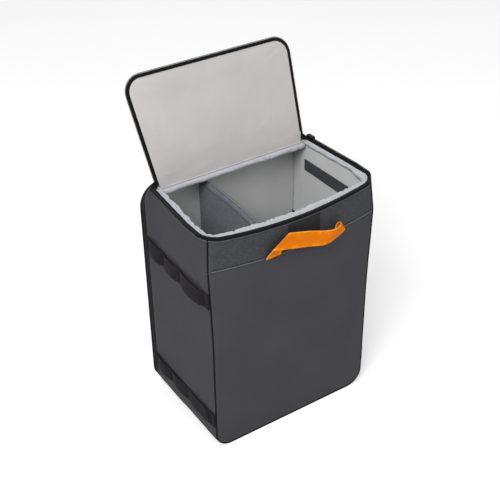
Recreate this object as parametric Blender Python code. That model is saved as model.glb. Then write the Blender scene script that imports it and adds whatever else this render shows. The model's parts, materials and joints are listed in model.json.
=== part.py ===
"""Camera bag insert: a padded fabric box with a zipped lid, a zipped rear door and dividers.

Units are metres. The origin is at the middle of the base, +Z is up, and the front faces -Y. The walls are
drawn as a straight-sided pattern first. settle() then bows every point the way the used, half-filled bag
stands, so that neighbouring layers keep their clearance.
"""
import math

import bmesh
import bpy
import numpy as np
from mathutils import Matrix, Vector

# Overall box
BODY_WIDTH = 0.300
BODY_DEPTH = 0.210
BODY_HEIGHT = 0.414
BASE_CORNER = 0.030
BAND_HEIGHT = 0.057
BAND_SEAM_Z = BODY_HEIGHT - BAND_HEIGHT
BASE_SEAM_Z = 0.064

# Front corners, seen from above
SEAM_CORNER = 0.006
RIM_CORNER = 0.026
INNER_CORNER = 0.0005

# Hinge line of the lid and the strip behind it
HINGE_Y = 0.069
HINGE_ROOM = 0.0025
AXIS_RISE = 0.0031
REAR_DROP = 0.015
HINGE_SHOULDER = 0.012
REAR_SHOULDER = 0.040

# Wall layers and clearances
GAP = 0.0003
SHELL = 0.0012
FOAM = 0.0061
LINING = 0.0010
LAYER_GAP = 0.0005
FOAM_DEPTH = SHELL + LAYER_GAP
LINING_DEPTH = FOAM_DEPTH + FOAM + LAYER_GAP
WALL = LINING_DEPTH + LINING
SHELL_REAR_Y = 0.0885
FOAM_REAR_Y = 0.0950
SHELL_TOP_INSET = 0.0015
FOAM_TOP_INSET = 0.012

# Bow and belly of the standing bag
RIM_FLARE_FRONT = 0.005
RIM_FLARE_WIDEST = 0.006
RIM_FLARE_HINGE = -0.0025
FLARE_WIDEST_Y = -0.050
FLARE_START_Z = 0.200
SIDE_BELLY = 0.005
BELLY_LOW_Z = 0.030
BELLY_TOP_ROOM = 0.054
BELLY_HIGH_Z = BODY_HEIGHT - BELLY_TOP_ROOM
FLARE_INNER_X = 0.068
FLARE_OUTER_X = 0.125
FRONT_BOW = 0.012
BOW_TOP_ROOM = 0.084
BOW_FULL_Z = BODY_HEIGHT - BOW_TOP_ROOM
BOW_START_Y = -0.020
BOW_FULL_Y = -0.085
RIM_DIP = 0.009
DIP_POWER = 2.5

# Piping round the front face
PIPING_RADIUS = 0.0012
PIPING_DEPTH = 0
PIPING_ROOM = 0.0018
PIPING_TOP_INSET = 0.0065

# Rim
LIP_END_Y = 0.0582
TAPE_END_Y = 0.0665
TAPE_EDGE = 0.0013
TAPE_THICKNESS = 0.0008
TAPE_SKIRT = 0.006
TAPE_WIDTH = 0.0085
TAPE_TOP = -0.0002
TAPE_BASE = -0.0012
COIL_RADIUS = 0.0014
LIP_OUTLINE = (
    (FOAM_DEPTH, -0.0112), (0.0102, -0.0112), (0.0102, -0.0200), (0.0114, -0.0215), (0.0132, -0.0190),
    (0.0140, -0.0130), (0.0130, -0.0060), (0.0100, -0.0025), (0.0060, -0.0017), (FOAM_DEPTH, -SHELL_TOP_INSET))
HINGE_LIP_FRONT_Y = 0.0585
HINGE_LIP_TOP = 0.0020
HINGE_LIP_HEIGHT = 0.011
HINGE_LIP_ROUND = 0.003

# Lid, drawn closed from its hinge axis
LID_OPEN_ANGLE = math.radians(112.9)
LID_TAPER = 0.0095
LID_HALF_WIDTH = BODY_WIDTH / 2
LID_HINGE_HALF_WIDTH = LID_HALF_WIDTH - LID_TAPER
LID_REACH = 0.167
LID_WIDEST_SHARE = 0.8084
LID_WIDEST_REACH = LID_REACH * LID_WIDEST_SHARE
LID_CORNER = 0.029
LID_START = 0.0024
LID_TOP = -0.0001
LID_COIL_RISE = -0.0012
LID_SHEET_INSET = 0.0017
LID_TAPE_WIDTH = 0.0058
LID_TAPE_THICKNESS = 0.0008
LID_BINDING_INSET = 0.0078
LID_BINDING_WIDTH = 0.0018
LID_BINDING_DEPTH = 0.0024
LID_PAD_INSET = 0.0099
LID_PAD_EDGE = 0.0010
LID_PAD_CROWN = 0.0060
LID_CROWN_START = 0.014
LID_CROWN_FULL = 0.030
HINGE_ROD_RADIUS = 0.0018
HINGE_LEAF = 0.009
HINGE_LEAF_THICKNESS = 0.0009

# Rear door, drawn as layers at set distances from the front of the zip
DOOR_TAPE_DEPTH = 0.0010
DOOR_TAPE_FRONT_Y = SHELL_REAR_Y + GAP
DOOR_TAPE_REAR_Y = 0.0960
DOOR_COIL_RADIUS = 0.0013
DOOR_COIL_INSET = 0.0016
BODY_COIL_Y = 0.0976
DOOR_COIL_Y = 0.1007
DOOR_BINDING_WIDTH = 0.0030
DOOR_BINDING_FRONT_Y = 0.1023
DOOR_COVER_INSET = DOOR_BINDING_WIDTH + LAYER_GAP
DOOR_COVER_REAR_Y = 0.1046
DOOR_STAY_WIDTH = 0.0019
DOOR_STAY_FRONT_Y = 0.0990
DOOR_PAD_INSET = DOOR_COVER_INSET + DOOR_STAY_WIDTH + GAP
DOOR_PAD_REAR_Y = DOOR_COVER_REAR_Y - SHELL - GAP
DOOR_FOAM_FRONT_Y = 0.0970
DOOR_WEB_LOW_Z = 0.036
DOOR_WEB_TOP_ROOM = 0.062
DOOR_WEB_HIGH_Z = BODY_HEIGHT - DOOR_WEB_TOP_ROOM
DOOR_WEB_FRONT_Y = 0.0860
DOOR_WEB_THICKNESS = 0.0010

# Zip sliders and pulls
SLIDER_LENGTH = 0.014
LID_SLIDER_Y = 0.0575
SLIDER_WALL = 0.0015
SLIDER_HALF_WIDTH = 0.0032
SLIDER_SKIRT = -0.0012
LID_SLIDER_INNER_FOOT = 0.0001
PULL_THICKNESS = 0.0008
PULL_WIDTH = 0.0060
PULL_EYE = 0.0006
LID_PULL_LENGTH = 0.022
LID_PULL_DEPTH = -0.0042
LID_PULL_RISE = 0.0025
DOOR_SLIDER_X = 0.0085
DOOR_SLIDER_FRONT_Y = 0.0925
DOOR_SLIDER_REAR_Y = 0.0989
DOOR_SLIDER_THICKNESS = 0.0013
DOOR_SLIDER_RIDGE = 0.0018
DOOR_SLIDER_RIDGE_FRONT_Y = 0.0962
DOOR_PULL_Y = 0.0948
DOOR_PULL_RISE = 0.0027
DOOR_PULL_LENGTH = 0.016

# Webbing on the sides
STRAP_WIDTH = 0.028
STRAP_THICKNESS = 0.0013
STRAP_GAP = 0.0008
STRAP_LOOP = 0.0080
STRAP_TOP_ROOM = 0.106
STRAP_UPPER_Z = BODY_HEIGHT - STRAP_TOP_ROOM
STRAP_LOWER_Z = 0.064
STRAP_TACKS_Y = (-0.092, -0.020, 0.033, 0.083)
STRAP_TACK_HALF = 0.003

# Front handle and label
HANDLE_LEFT_X = -0.047
HANDLE_RIGHT_X = 0.085
HANDLE_WIDTH = 0.025
HANDLE_THICKNESS = 0.0016
HANDLE_AXIS_GAP = 0.0016
HANDLE_FOOT = 0.0012
HANDLE_BEND = 0.0135
HANDLE_STAND = 0.016
LABEL_LEFT_X = -0.021
LABEL_RIGHT_X = 0.038
LABEL_HEIGHT = 0.037
LABEL_TOP_ROOM = 0.0065
LABEL_HIGH_Z = BODY_HEIGHT - LABEL_TOP_ROOM
LABEL_LOW_Z = LABEL_HIGH_Z - LABEL_HEIGHT
LABEL_THICKNESS = 0.0008

# Dividers
DIVIDER_X = -0.046
DIVIDER_THICKNESS = 0.010
DIVIDER_TOP_INSET = 0.022
DIVIDER_FLANGE = 0.015
FLAP_THICKNESS = 0.002
FLAP_HEIGHT = 0.020
DIVIDER_ROOM = 0.0008
DIVIDER_REAR_Y = 0.0940
SHELF_THICKNESS = 0.008
LEFT_SHELF_UPPER_SHARE = 0.46377
LEFT_SHELF_LOWER_SHARE = 0.23671
RIGHT_SHELF_UPPER_SHARE = 0.56039
RIGHT_SHELF_LOWER_SHARE = 0.29469
STRIP_FRONT_Y = -0.061
STRIP_REAR_Y = 0.059
STRIP_HEIGHT = 0.020
STRIP_TOP_ROOM = 0.037
STRIP_LOW_Z = BODY_HEIGHT - STRIP_TOP_ROOM - STRIP_HEIGHT

# Numbers of steps, chosen so that flat facets stay below the clearances
CORNER_STEPS = 4
EDGE_STEPS = 4
FACE_STEPS = 8
LOW_ROWS = 6
BAND_ROWS = 3
SIDE_COLUMNS = 5
ROD_SIDES = 6
LOOP_STEPS = 8

HALF_WIDTH = BODY_WIDTH / 2
HALF_DEPTH = BODY_DEPTH / 2
AXIS_Z = BODY_HEIGHT + AXIS_RISE
DIAGONAL = math.pi / 4
QUARTER = math.pi / 2


def smooth(share):
    """Ease from 0 to 1 with level ends."""
    share = np.clip(share, 0, 1)
    return share * share * (3 - 2 * share)


def settle(points):
    """Move pattern points to where they lie on the standing bag."""
    points = np.asarray(points, dtype=float)
    x, y, z = points[..., 0], points[..., 1], points[..., 2]
    height_share = smooth((z - FLARE_START_Z) / (BODY_HEIGHT - FLARE_START_Z))
    flare_y = (-HALF_DEPTH, FLARE_WIDEST_Y, HINGE_Y, SHELL_REAR_Y)
    flare = np.interp(y, flare_y, (RIM_FLARE_FRONT, RIM_FLARE_WIDEST, RIM_FLARE_HINGE, 0)) * height_share
    lobe = np.clip((z - BELLY_LOW_Z) / (BELLY_HIGH_Z - BELLY_LOW_Z), 0, 1)
    belly = SIDE_BELLY * np.sin(math.pi * lobe) ** 2 * np.clip(1 - (y / SHELL_REAR_Y) ** 2, 0, 1)
    outward = np.clip((np.abs(x) - FLARE_INNER_X) / (FLARE_OUTER_X - FLARE_INNER_X), 0, 1)
    across = np.clip(1 - (x / HALF_WIDTH) ** 2, 0, 1)
    near_front = smooth((BOW_START_Y - y) / (BOW_START_Y - BOW_FULL_Y))
    bow = FRONT_BOW * across * near_front * smooth(z / BOW_FULL_Z)
    dip = RIM_DIP * across * near_front * np.clip(z / BODY_HEIGHT, 0, None) ** DIP_POWER
    return np.stack([x + np.sign(x) * (flare + belly) * outward, y - bow, z - dip], axis=-1)


def plan_corner(z):
    """Radius of the front corners, seen from above, at height z."""
    share = np.clip((z - BAND_SEAM_Z) / (BODY_HEIGHT - BAND_SEAM_Z), 0, 1)
    return SEAM_CORNER + (RIM_CORNER - SEAM_CORNER) * share


def rear_top(y):
    """Height of the sloping strip behind the hinge."""
    return BODY_HEIGHT - REAR_DROP * (y - HINGE_Y) / (HALF_DEPTH - HINGE_Y)


def shoulder(y):
    """Radius of the upper corners behind the hinge."""
    share = (y - HINGE_Y - HINGE_ROOM) / (HALF_DEPTH - HINGE_Y - HINGE_ROOM)
    return HINGE_SHOULDER + (REAR_SHOULDER - HINGE_SHOULDER) * share


def layer_radius(radius, depth):
    """Radius of a layer that lies at a depth under a rounded corner."""
    return np.maximum(radius - depth, INNER_CORNER)


def closed_sheet(outer, inner):
    """Points and faces of the closed sheet between two grids of equal size."""
    rows, columns = outer.shape[:2]
    points = np.concatenate([outer.reshape(-1, 3), inner.reshape(-1, 3)])
    shift = rows * columns
    index = np.arange(shift).reshape(rows, columns)
    quads = np.stack([index[:-1, :-1], index[:-1, 1:], index[1:, 1:], index[1:, :-1]], axis=-1).reshape(-1, 4)
    border = np.concatenate([index[0, :-1], index[:-1, -1], index[-1, :0:-1], index[:0:-1, 0]])
    ahead = np.roll(border, -1)
    walls = np.stack([border, border + shift, ahead + shift, ahead], axis=-1)
    faces = np.concatenate([quads, quads[:, ::-1][:, (3, 0, 1, 2)] + shift, walls])
    return points, faces.tolist()


def swept_bar(rings, closed=False):
    """Points and faces of a bar through a row of equal rings, with flat ends unless its path is closed."""
    count, sides = rings.shape[:2]
    index = np.arange(count * sides).reshape(count, sides)
    if closed:
        index = np.concatenate([index, index[:1]])
    turned = np.roll(index, -1, axis=1)
    quads = np.stack([index[:-1], turned[:-1], turned[1:], index[1:]], axis=-1).reshape(-1, 4)
    faces = quads.tolist()
    if not closed:
        faces.append(index[0, ::-1].tolist())
        faces.append(index[-1].tolist())
    return rings.reshape(-1, 3), faces


def fabric(name, colour, roughness, metallic=0):
    """A Principled material of one colour."""
    material = bpy.data.materials.new(name)
    material.use_nodes = True
    shader = material.node_tree.nodes["Principled BSDF"]
    shader.inputs["Base Color"].default_value = (*colour, 1)
    shader.inputs["Roughness"].default_value = roughness
    shader.inputs["Metallic"].default_value = metallic
    return material


def add_piece(name, shape, material, parent=None, origin=(0, 0, 0)):
    """Make one named object from points and faces, with its origin at a given place."""
    points, faces = shape
    mesh = bpy.data.meshes.new(name)
    mesh.from_pydata((points - np.array(origin)).tolist(), [], faces)
    form = bmesh.new()
    form.from_mesh(mesh)
    bmesh.ops.recalc_face_normals(form, faces=form.faces)
    form.to_mesh(mesh)
    form.free()
    mesh.shade_smooth()
    mesh.set_sharp_from_angle(angle=DIAGONAL)
    mesh.materials.append(material)
    piece = bpy.data.objects.new(name, mesh)
    bpy.context.scene.collection.objects.link(piece)
    piece.location = origin
    if parent:
        piece.parent = parent
    return piece


def add_pivot(name, place, turn=None):
    """An empty on a joint's axis that carries the pieces of a moving body."""
    pivot = bpy.data.objects.new(name, None)
    bpy.context.scene.collection.objects.link(pivot)
    pivot.matrix_world = Matrix.Translation(Vector(place)) @ (turn or Matrix.Identity(4))
    return pivot


def settled_sheet(outer, inner):
    """A closed sheet drawn in the pattern and settled."""
    return closed_sheet(settle(outer), settle(inner))


def wall_rows(low, top_inset):
    """Heights of a wall's rows, with a row on the band seam."""
    lower = np.linspace(low, BAND_SEAM_Z, LOW_ROWS)
    upper = np.linspace(BAND_SEAM_Z, BODY_HEIGHT - top_inset, BAND_ROWS + 1)
    return np.concatenate([lower, upper[1:]])


def side_stations(rear_y, front_y):
    """Places along a side from the rear to the front, with one where the rim is widest."""
    level = np.zeros_like(front_y)
    stations = [level + y for y in np.linspace(rear_y, FLARE_WIDEST_Y, SIDE_COLUMNS)]
    return stations + [(FLARE_WIDEST_Y + front_y) / 2, level + front_y]


def side_grid(sign, depth, room, top_inset, rear_y):
    """Grid of one side wall's surface at a depth: rows go up, columns go from the rear round the corner."""
    z = wall_rows(BASE_SEAM_Z + GAP, top_inset)
    columns = []
    for y in np.linspace(rear_y, HINGE_Y + HINGE_ROOM, EDGE_STEPS):
        radius = layer_radius(shoulder(y), depth)
        centre_z = rear_top(y) - depth - radius
        angle = np.linspace(0, DIAGONAL - GAP / 2 / radius, BAND_ROWS + 1)
        straight = np.linspace(BASE_SEAM_Z + GAP, centre_z, LOW_ROWS)
        rise = np.concatenate([straight, centre_z + radius * np.sin(angle[1:])])
        turn = np.concatenate([np.zeros(LOW_ROWS), 1 - np.cos(angle[1:])])
        columns.append((HALF_WIDTH - depth - radius * turn, np.full_like(z, y), rise))
    radius = layer_radius(plan_corner(z), depth)
    arc_y = -HALF_DEPTH + depth + radius
    for y in side_stations(HINGE_Y, arc_y):
        columns.append((np.full_like(z, HALF_WIDTH - depth), y, z))
    for share in np.linspace(0, 1, EDGE_STEPS)[1:]:
        angle = (DIAGONAL - room / radius) * share
        columns.append((HALF_WIDTH - depth - radius * (1 - np.cos(angle)), arc_y - radius * np.sin(angle), z))
    grid = np.stack([np.stack(column, axis=-1) for column in columns], axis=1)
    return grid * np.array((sign, 1, 1))


def front_grid(depth, room, rows, follows_base):
    """Grid of the front wall's surface at a depth; rows are its heights, bent round the base corners if asked."""
    base_radius = layer_radius(SEAM_CORNER, depth)
    edge = depth + base_radius * (1 - math.cos(DIAGONAL + room / base_radius))
    reach = HALF_WIDTH - edge
    flat = HALF_WIDTH - BASE_CORNER
    arc = flat + (reach - flat) * np.sin(np.linspace(0, QUARTER, CORNER_STEPS + 1)[1:])
    x = np.concatenate([-arc[::-1], np.linspace(-flat, flat, FACE_STEPS), arc])
    floor = np.full_like(x, rows[0])
    if follows_base:
        bend = np.clip(np.abs(x) - flat, 0, None)
        floor = BASE_CORNER - np.sqrt(np.clip((reach - flat) ** 2 - bend ** 2, 0, None))
    share = (rows - rows[0]) / (rows[-1] - rows[0])
    z = floor + (rows[-1] - floor) * share[:, None]
    radius = layer_radius(plan_corner(z), depth)
    row_reach = HALF_WIDTH - depth - radius + radius * np.cos(DIAGONAL + room / radius)
    x = x / reach * row_reach
    from_side = HALF_WIDTH - np.abs(x)
    in_corner = (z < BASE_CORNER) & (from_side < BASE_CORNER)
    corner = BASE_CORNER - np.hypot(BASE_CORNER - from_side, BASE_CORNER - z)
    from_edge = np.where(in_corner, corner, np.minimum(from_side, z))
    short = np.clip(depth + radius - from_edge, 0, radius)
    y = -HALF_DEPTH + depth + radius - np.sqrt(radius ** 2 - short ** 2)
    return np.stack([x, y, z], axis=-1)


def base_ring(inset, top):
    """Stations of the round-cornered U of the base at an inset: places and inward normals in X and Z."""
    radius = BASE_CORNER - inset
    angle = np.linspace(0, QUARTER, CORNER_STEPS + 1)
    flat = HALF_WIDTH - BASE_CORNER
    left = np.stack([-flat - radius * np.cos(angle), BASE_CORNER - radius * np.sin(angle)], axis=-1)
    inward = np.stack([np.cos(angle), np.sin(angle)], axis=-1)
    floor_x = np.linspace(-flat, flat, EDGE_STEPS)[1:-1]
    floor = np.stack([floor_x, np.full_like(floor_x, inset)], axis=-1)
    up = np.tile((0, 1), (len(floor_x), 1))
    mirror = np.array((-1, 1))
    heights = np.atleast_1d(top)
    start = np.stack([np.full_like(heights, inset - HALF_WIDTH), heights], axis=-1)
    start_in = np.tile((1, 0), (len(heights), 1))
    places = np.concatenate([start, left, floor, left[::-1] * mirror, start[::-1] * mirror])
    normals = np.concatenate([start_in, inward, up, inward[::-1] * mirror, start_in[::-1] * mirror])
    return places, normals


def base_grid(depth, room, rear_y):
    """Grid of the base's surface at a depth: rows go round the U, columns go from the rear to the front."""
    radius = layer_radius(SEAM_CORNER, depth)
    arc_y = -HALF_DEPTH + depth + radius
    angle = np.linspace(0, DIAGONAL - room / radius, EDGE_STEPS)[1:]
    insets = np.concatenate([np.full(LOW_ROWS, depth), depth + radius * (1 - np.cos(angle))])
    ys = np.concatenate([np.linspace(rear_y, arc_y, LOW_ROWS), arc_y - radius * np.sin(angle)])
    columns = []
    for inset, y in zip(insets, ys):
        places, _ = base_ring(inset, BASE_SEAM_Z)
        columns.append(np.stack([places[:, 0], np.full(len(places), y), places[:, 1]], axis=-1))
    return np.stack(columns, axis=1)


def rear_strip_grid(depth, rear_y):
    """Grid of the sloping strip behind the hinge at a depth."""
    columns = []
    for y in np.linspace(HINGE_Y + HINGE_ROOM, rear_y, EDGE_STEPS):
        radius = layer_radius(shoulder(y), depth)
        flat = HALF_WIDTH - depth - radius
        angle = np.linspace(DIAGONAL + GAP / 2 / radius, QUARTER, CORNER_STEPS)
        side_x = flat + radius * np.cos(angle)
        side_z = rear_top(y) - depth - radius + radius * np.sin(angle)
        middle = np.linspace(flat, -flat, EDGE_STEPS)[1:-1]
        x = np.concatenate([side_x, middle, -side_x[::-1]])
        z = np.concatenate([side_z, np.full_like(middle, rear_top(y) - depth), side_z[::-1]])
        columns.append(np.stack([x, np.full_like(x, y), z], axis=-1))
    return np.stack(columns, axis=1)


def rim_rings(outline, end_y, turned=False):
    """Rings of a profile, given as depth and rise, swept round the three open sides of the rim."""
    depth = np.array([corner[0] for corner in outline])
    z = BODY_HEIGHT + np.array([corner[1] for corner in outline])
    radius = plan_corner(np.minimum(z, BODY_HEIGHT)) - depth
    flat = HALF_WIDTH - depth - radius
    arc_y = -HALF_DEPTH + depth + radius
    rings = []
    for y in side_stations(end_y, arc_y):
        rings.append((depth - HALF_WIDTH, y, z))
    for angle in np.linspace(0, QUARTER, CORNER_STEPS + 1)[1:]:
        rings.append((-flat - radius * math.cos(angle), arc_y - radius * math.sin(angle), z))
    for share in np.linspace(0, 1, FACE_STEPS)[1:-1]:
        rings.append((-flat + 2 * flat * share, arc_y - radius, z))
    half = np.stack([np.stack(ring, axis=-1) for ring in rings])
    corner_end = len(rings) - FACE_STEPS + 2
    mirrored = half[:corner_end][::-1] * np.array((-1, 1, 1))
    return settle(np.concatenate([half, mirrored]))


def rod_outline(depth, rise, radius):
    """Corners of a round rod as depth and rise."""
    angle = np.linspace(0, 2 * math.pi, ROD_SIDES, endpoint=False)
    return list(zip(depth + radius * np.cos(angle), rise + radius * np.sin(angle)))


def rear_rings(outline, whole):
    """Rings of a profile, given as inset and Y, swept round the rear outline, whole or open at the hinge."""
    inset = np.array([corner[0] for corner in outline])
    y = np.array([corner[1] for corner in outline])
    top = rear_top(y)
    upper = shoulder(y)
    low_radius = BASE_CORNER - inset
    high_radius = upper - inset
    low_flat = HALF_WIDTH - BASE_CORNER
    high_flat = HALF_WIDTH - upper
    turn = np.linspace(0, QUARTER, CORNER_STEPS + 1)
    right_up = [(high_flat + high_radius * math.cos(a), top - upper + high_radius * math.sin(a)) for a in turn]
    left_up = [(-x, z) for x, z in right_up[::-1]]
    left_low = [(-low_flat - low_radius * math.cos(a), BASE_CORNER - low_radius * math.sin(a)) for a in turn]
    right_low = [(-x, z) for x, z in left_low[::-1]]
    path = right_up + left_up + left_low + right_low
    rings = np.stack([np.stack([x, y, z], axis=-1) for x, z in path])
    return swept_bar(rings, closed=whole)


def rear_sheet(inset, front_y, rear_y):
    """A flat sheet with the rear outline at an inset, between two places along Y."""
    faces = []
    for y in (rear_y, front_y):
        upper = shoulder(HALF_DEPTH) - inset
        lower = BASE_CORNER - inset
        top = rear_top(HALF_DEPTH) - inset
        reach = HALF_WIDTH - inset
        flat = reach - upper
        arc = flat + upper * np.sin(np.linspace(0, QUARTER, CORNER_STEPS + 2)[1:])
        x = np.concatenate([-arc[::-1], np.linspace(-flat, flat, EDGE_STEPS), arc])
        high = top - upper + np.sqrt(np.clip(upper ** 2 - np.clip(np.abs(x) - flat, 0, None) ** 2, 0, None))
        low_bend = np.clip(np.abs(x) - (reach - lower), 0, None)
        low = inset + lower - np.sqrt(np.clip(lower ** 2 - low_bend ** 2, 0, None))
        share = np.linspace(0, 1, EDGE_STEPS)[:, None]
        z = low + (high - low) * share
        faces.append(np.stack([np.broadcast_to(x, z.shape), np.full_like(z, y), z], axis=-1))
    return closed_sheet(faces[0], faces[1])


def lid_half_width(reach):
    """Half the lid's width at a distance from its hinge."""
    share = np.clip(reach / LID_WIDEST_REACH, 0, 1)
    return LID_HINGE_HALF_WIDTH + (LID_HALF_WIDTH - LID_HINGE_HALF_WIDTH) * share


def lid_sheet(inset, top, thickness, start=LID_START, rows=FACE_STEPS):
    """A sheet of the lid, closed and seen from its axis; thickness may follow the distance from the edge."""
    corner = LID_CORNER - inset
    flat = LID_HALF_WIDTH - LID_CORNER
    arc = flat + corner * np.sin(np.linspace(0, QUARTER, CORNER_STEPS + 2)[1:])
    end_x = np.concatenate([-arc[::-1], np.linspace(-flat, flat, FACE_STEPS), arc])
    bend = np.clip(np.abs(end_x) - flat, 0, None)
    end = LID_REACH - LID_CORNER + np.sqrt(np.clip(corner ** 2 - bend ** 2, 0, None))
    share = np.linspace(0, 1, rows)[:, None]
    reach = start + (end - start) * share
    x = end_x / (LID_HALF_WIDTH - inset) * (lid_half_width(reach) - inset)
    inner_x = np.clip(np.abs(x) - (lid_half_width(reach) - LID_CORNER), 0, None)
    inner_reach = np.clip(reach - (LID_REACH - LID_CORNER), 0, None)
    from_corner = LID_CORNER - np.hypot(inner_x, inner_reach)
    from_edge = np.minimum(from_corner, np.minimum(lid_half_width(reach) - np.abs(x), LID_REACH - reach))
    from_edge = np.minimum(from_edge, reach - start + inset)
    upper = np.broadcast_to(top, reach.shape)
    lower = upper - thickness(from_edge)
    return closed_sheet(np.stack([x, -reach, upper], axis=-1), np.stack([x, -reach, lower], axis=-1))


def pad_foam(from_edge):
    """Thickness of the lid's foam: thin over the rim, crowned inside it."""
    crown = smooth((from_edge - LID_CROWN_START) / (LID_CROWN_FULL - LID_CROWN_START))
    return LID_PAD_EDGE + LID_PAD_CROWN * crown


def lid_rings(outline, start=LID_START):
    """Rings of a profile, given as inset and rise, swept round the three free sides of the lid."""
    inset = np.array([corner[0] for corner in outline])
    rise = np.array([corner[1] for corner in outline])
    corner = LID_CORNER - inset
    straight_end = LID_REACH - LID_CORNER
    rings = []
    for reach in (start, LID_WIDEST_REACH, straight_end):
        rings.append((inset - lid_half_width(reach), np.full_like(inset, -reach), rise))
    for angle in np.linspace(0, QUARTER, CORNER_STEPS + 2)[1:]:
        x = LID_CORNER - LID_HALF_WIDTH - corner * math.cos(angle)
        rings.append((x, -straight_end - corner * math.sin(angle), rise))
    half = np.stack([np.stack(ring, axis=-1) for ring in rings])
    mirrored = half[::-1] * np.array((-1, 1, 1))
    return swept_bar(np.concatenate([half, mirrored]))


def extrude_x(corners, left, right):
    """A bar along X with a profile given as Y and Z."""
    rings = [[(x, y, z) for y, z in corners] for x in (left, right)]
    return swept_bar(np.array(rings))


def sheet_between(grid, depth, thickness, *details):
    """A settled sheet between a wall grid at a depth and the same grid further in."""
    return settled_sheet(grid(depth, *details), grid(depth + thickness, *details))


def ring_round_front():
    """The piping round the front face, from the rim down one side, under the base and up again."""
    heights = wall_rows(BASE_CORNER, PIPING_TOP_INSET)[:0:-1]
    inset = plan_corner(heights) - (plan_corner(heights) - PIPING_DEPTH) * math.cos(DIAGONAL)
    low_inset = SEAM_CORNER - (SEAM_CORNER - PIPING_DEPTH) * math.cos(DIAGONAL)
    places, normals = base_ring(low_inset, heights)
    insets = np.concatenate([inset, np.full(len(places) - 2 * len(inset), low_inset), inset[::-1]])
    places = places + normals * (insets - low_inset)[:, None]
    angle = np.linspace(0, 2 * math.pi, ROD_SIDES, endpoint=False)
    inward = PIPING_RADIUS * np.cos(angle)
    x = places[:, :1] + normals[:, :1] * inward
    z = places[:, 1:] + normals[:, 1:] * inward
    y = insets[:, None] - HALF_DEPTH + PIPING_RADIUS * np.sin(angle)
    return swept_bar(settle(np.stack([x, y, z], axis=-1)))


def strap(sign, middle_z):
    """Webbing along a side, sewn down at its tacks and standing off between them."""
    y = []
    stand = []
    for tack, following in zip(STRAP_TACKS_Y, STRAP_TACKS_Y[1:]):
        for share in np.linspace(0, 1, LOOP_STEPS):
            start = tack + STRAP_TACK_HALF
            end = following - STRAP_TACK_HALF
            y.append(start + (end - start) * share)
            stand.append(STRAP_LOOP * (1 - (2 * share - 1) ** 4))
    y = np.array([STRAP_TACKS_Y[0] - STRAP_TACK_HALF] + y + [STRAP_TACKS_Y[-1] + STRAP_TACK_HALF])
    stand = np.array([0] + stand + [0])
    z = np.linspace(middle_z - STRAP_WIDTH / 2, middle_z + STRAP_WIDTH / 2, EDGE_STEPS - 1)[:, None]
    grids = []
    for lift in (STRAP_GAP + STRAP_THICKNESS, STRAP_GAP):
        x = np.broadcast_to(sign * (HALF_WIDTH + lift + stand), (len(z), len(y)))
        grids.append(np.stack([x, np.broadcast_to(y, x.shape), np.broadcast_to(z, x.shape)], axis=-1))
    return settled_sheet(grids[0], grids[1])


def long_divider():
    """The front-to-back divider with its sewn flange on the front wall."""
    left = DIVIDER_X - DIVIDER_THICKNESS / 2
    right = DIVIDER_X + DIVIDER_THICKNESS / 2
    front = -HALF_DEPTH + WALL + DIVIDER_ROOM
    flange = front + FLAP_THICKNESS
    corners = ((left - DIVIDER_FLANGE, front), (left, front), (right, front), (right + DIVIDER_FLANGE, front),
               (right + DIVIDER_FLANGE, flange), (right, flange), (right, DIVIDER_REAR_Y),
               (left, DIVIDER_REAR_Y), (left, flange), (left - DIVIDER_FLANGE, flange))
    heights = np.linspace(WALL + DIVIDER_ROOM, BODY_HEIGHT - DIVIDER_TOP_INSET, LOW_ROWS + BAND_ROWS)
    rings = np.array([[(x, y, z) for x, y in corners] for z in heights])
    return swept_bar(settle(rings))


def shelf(start, end, z):
    """A shelf divider between two places along X, with an upturned flap at both ends."""
    top = z + SHELF_THICKNESS
    flap = top + FLAP_HEIGHT
    corners = ((start, z), (end, z), (end, top), (end, flap), (end - FLAP_THICKNESS, flap),
               (end - FLAP_THICKNESS, top), (start + FLAP_THICKNESS, top), (start + FLAP_THICKNESS, flap),
               (start, flap), (start, top))
    front = -HALF_DEPTH + WALL + 2 * DIVIDER_ROOM + FLAP_THICKNESS
    rings = np.array([[(x, y, z) for x, z in corners] for y in np.linspace(front, DIVIDER_REAR_Y, LOW_ROWS)])
    return swept_bar(settle(rings))


def wall_strip():
    """The fastening strip on the right inner wall."""
    y = np.array(side_stations(STRIP_REAR_Y, STRIP_FRONT_Y))
    z = np.array((STRIP_LOW_Z, STRIP_LOW_Z + STRIP_HEIGHT))[:, None]
    grids = []
    for depth in (WALL + GAP, WALL + GAP + FLAP_THICKNESS):
        x = np.full((len(z), len(y)), HALF_WIDTH - depth)
        grids.append(np.stack([x, np.broadcast_to(y, x.shape), np.broadcast_to(z, x.shape)], axis=-1))
    return settled_sheet(grids[0], grids[1])


def label_patch():
    """The blank patch on the front band."""
    x = np.linspace(LABEL_LEFT_X, LABEL_RIGHT_X, EDGE_STEPS)
    z = np.linspace(LABEL_LOW_Z, LABEL_HIGH_Z, EDGE_STEPS - 1)[:, None]
    grids = []
    for lift in (GAP + LABEL_THICKNESS, GAP):
        y = np.full((len(z), len(x)), -HALF_DEPTH - lift)
        grids.append(np.stack([np.broadcast_to(x, y.shape), y, np.broadcast_to(z, y.shape)], axis=-1))
    return settled_sheet(grids[0], grids[1])


def handle_axis():
    """The two ends of the line in which the handle's feet are sewn."""
    ends = settle([(HANDLE_LEFT_X, -HALF_DEPTH, BAND_SEAM_Z), (HANDLE_RIGHT_X, -HALF_DEPTH, BAND_SEAM_Z)])
    return ends - np.array((0, HANDLE_AXIS_GAP, 0))


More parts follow.
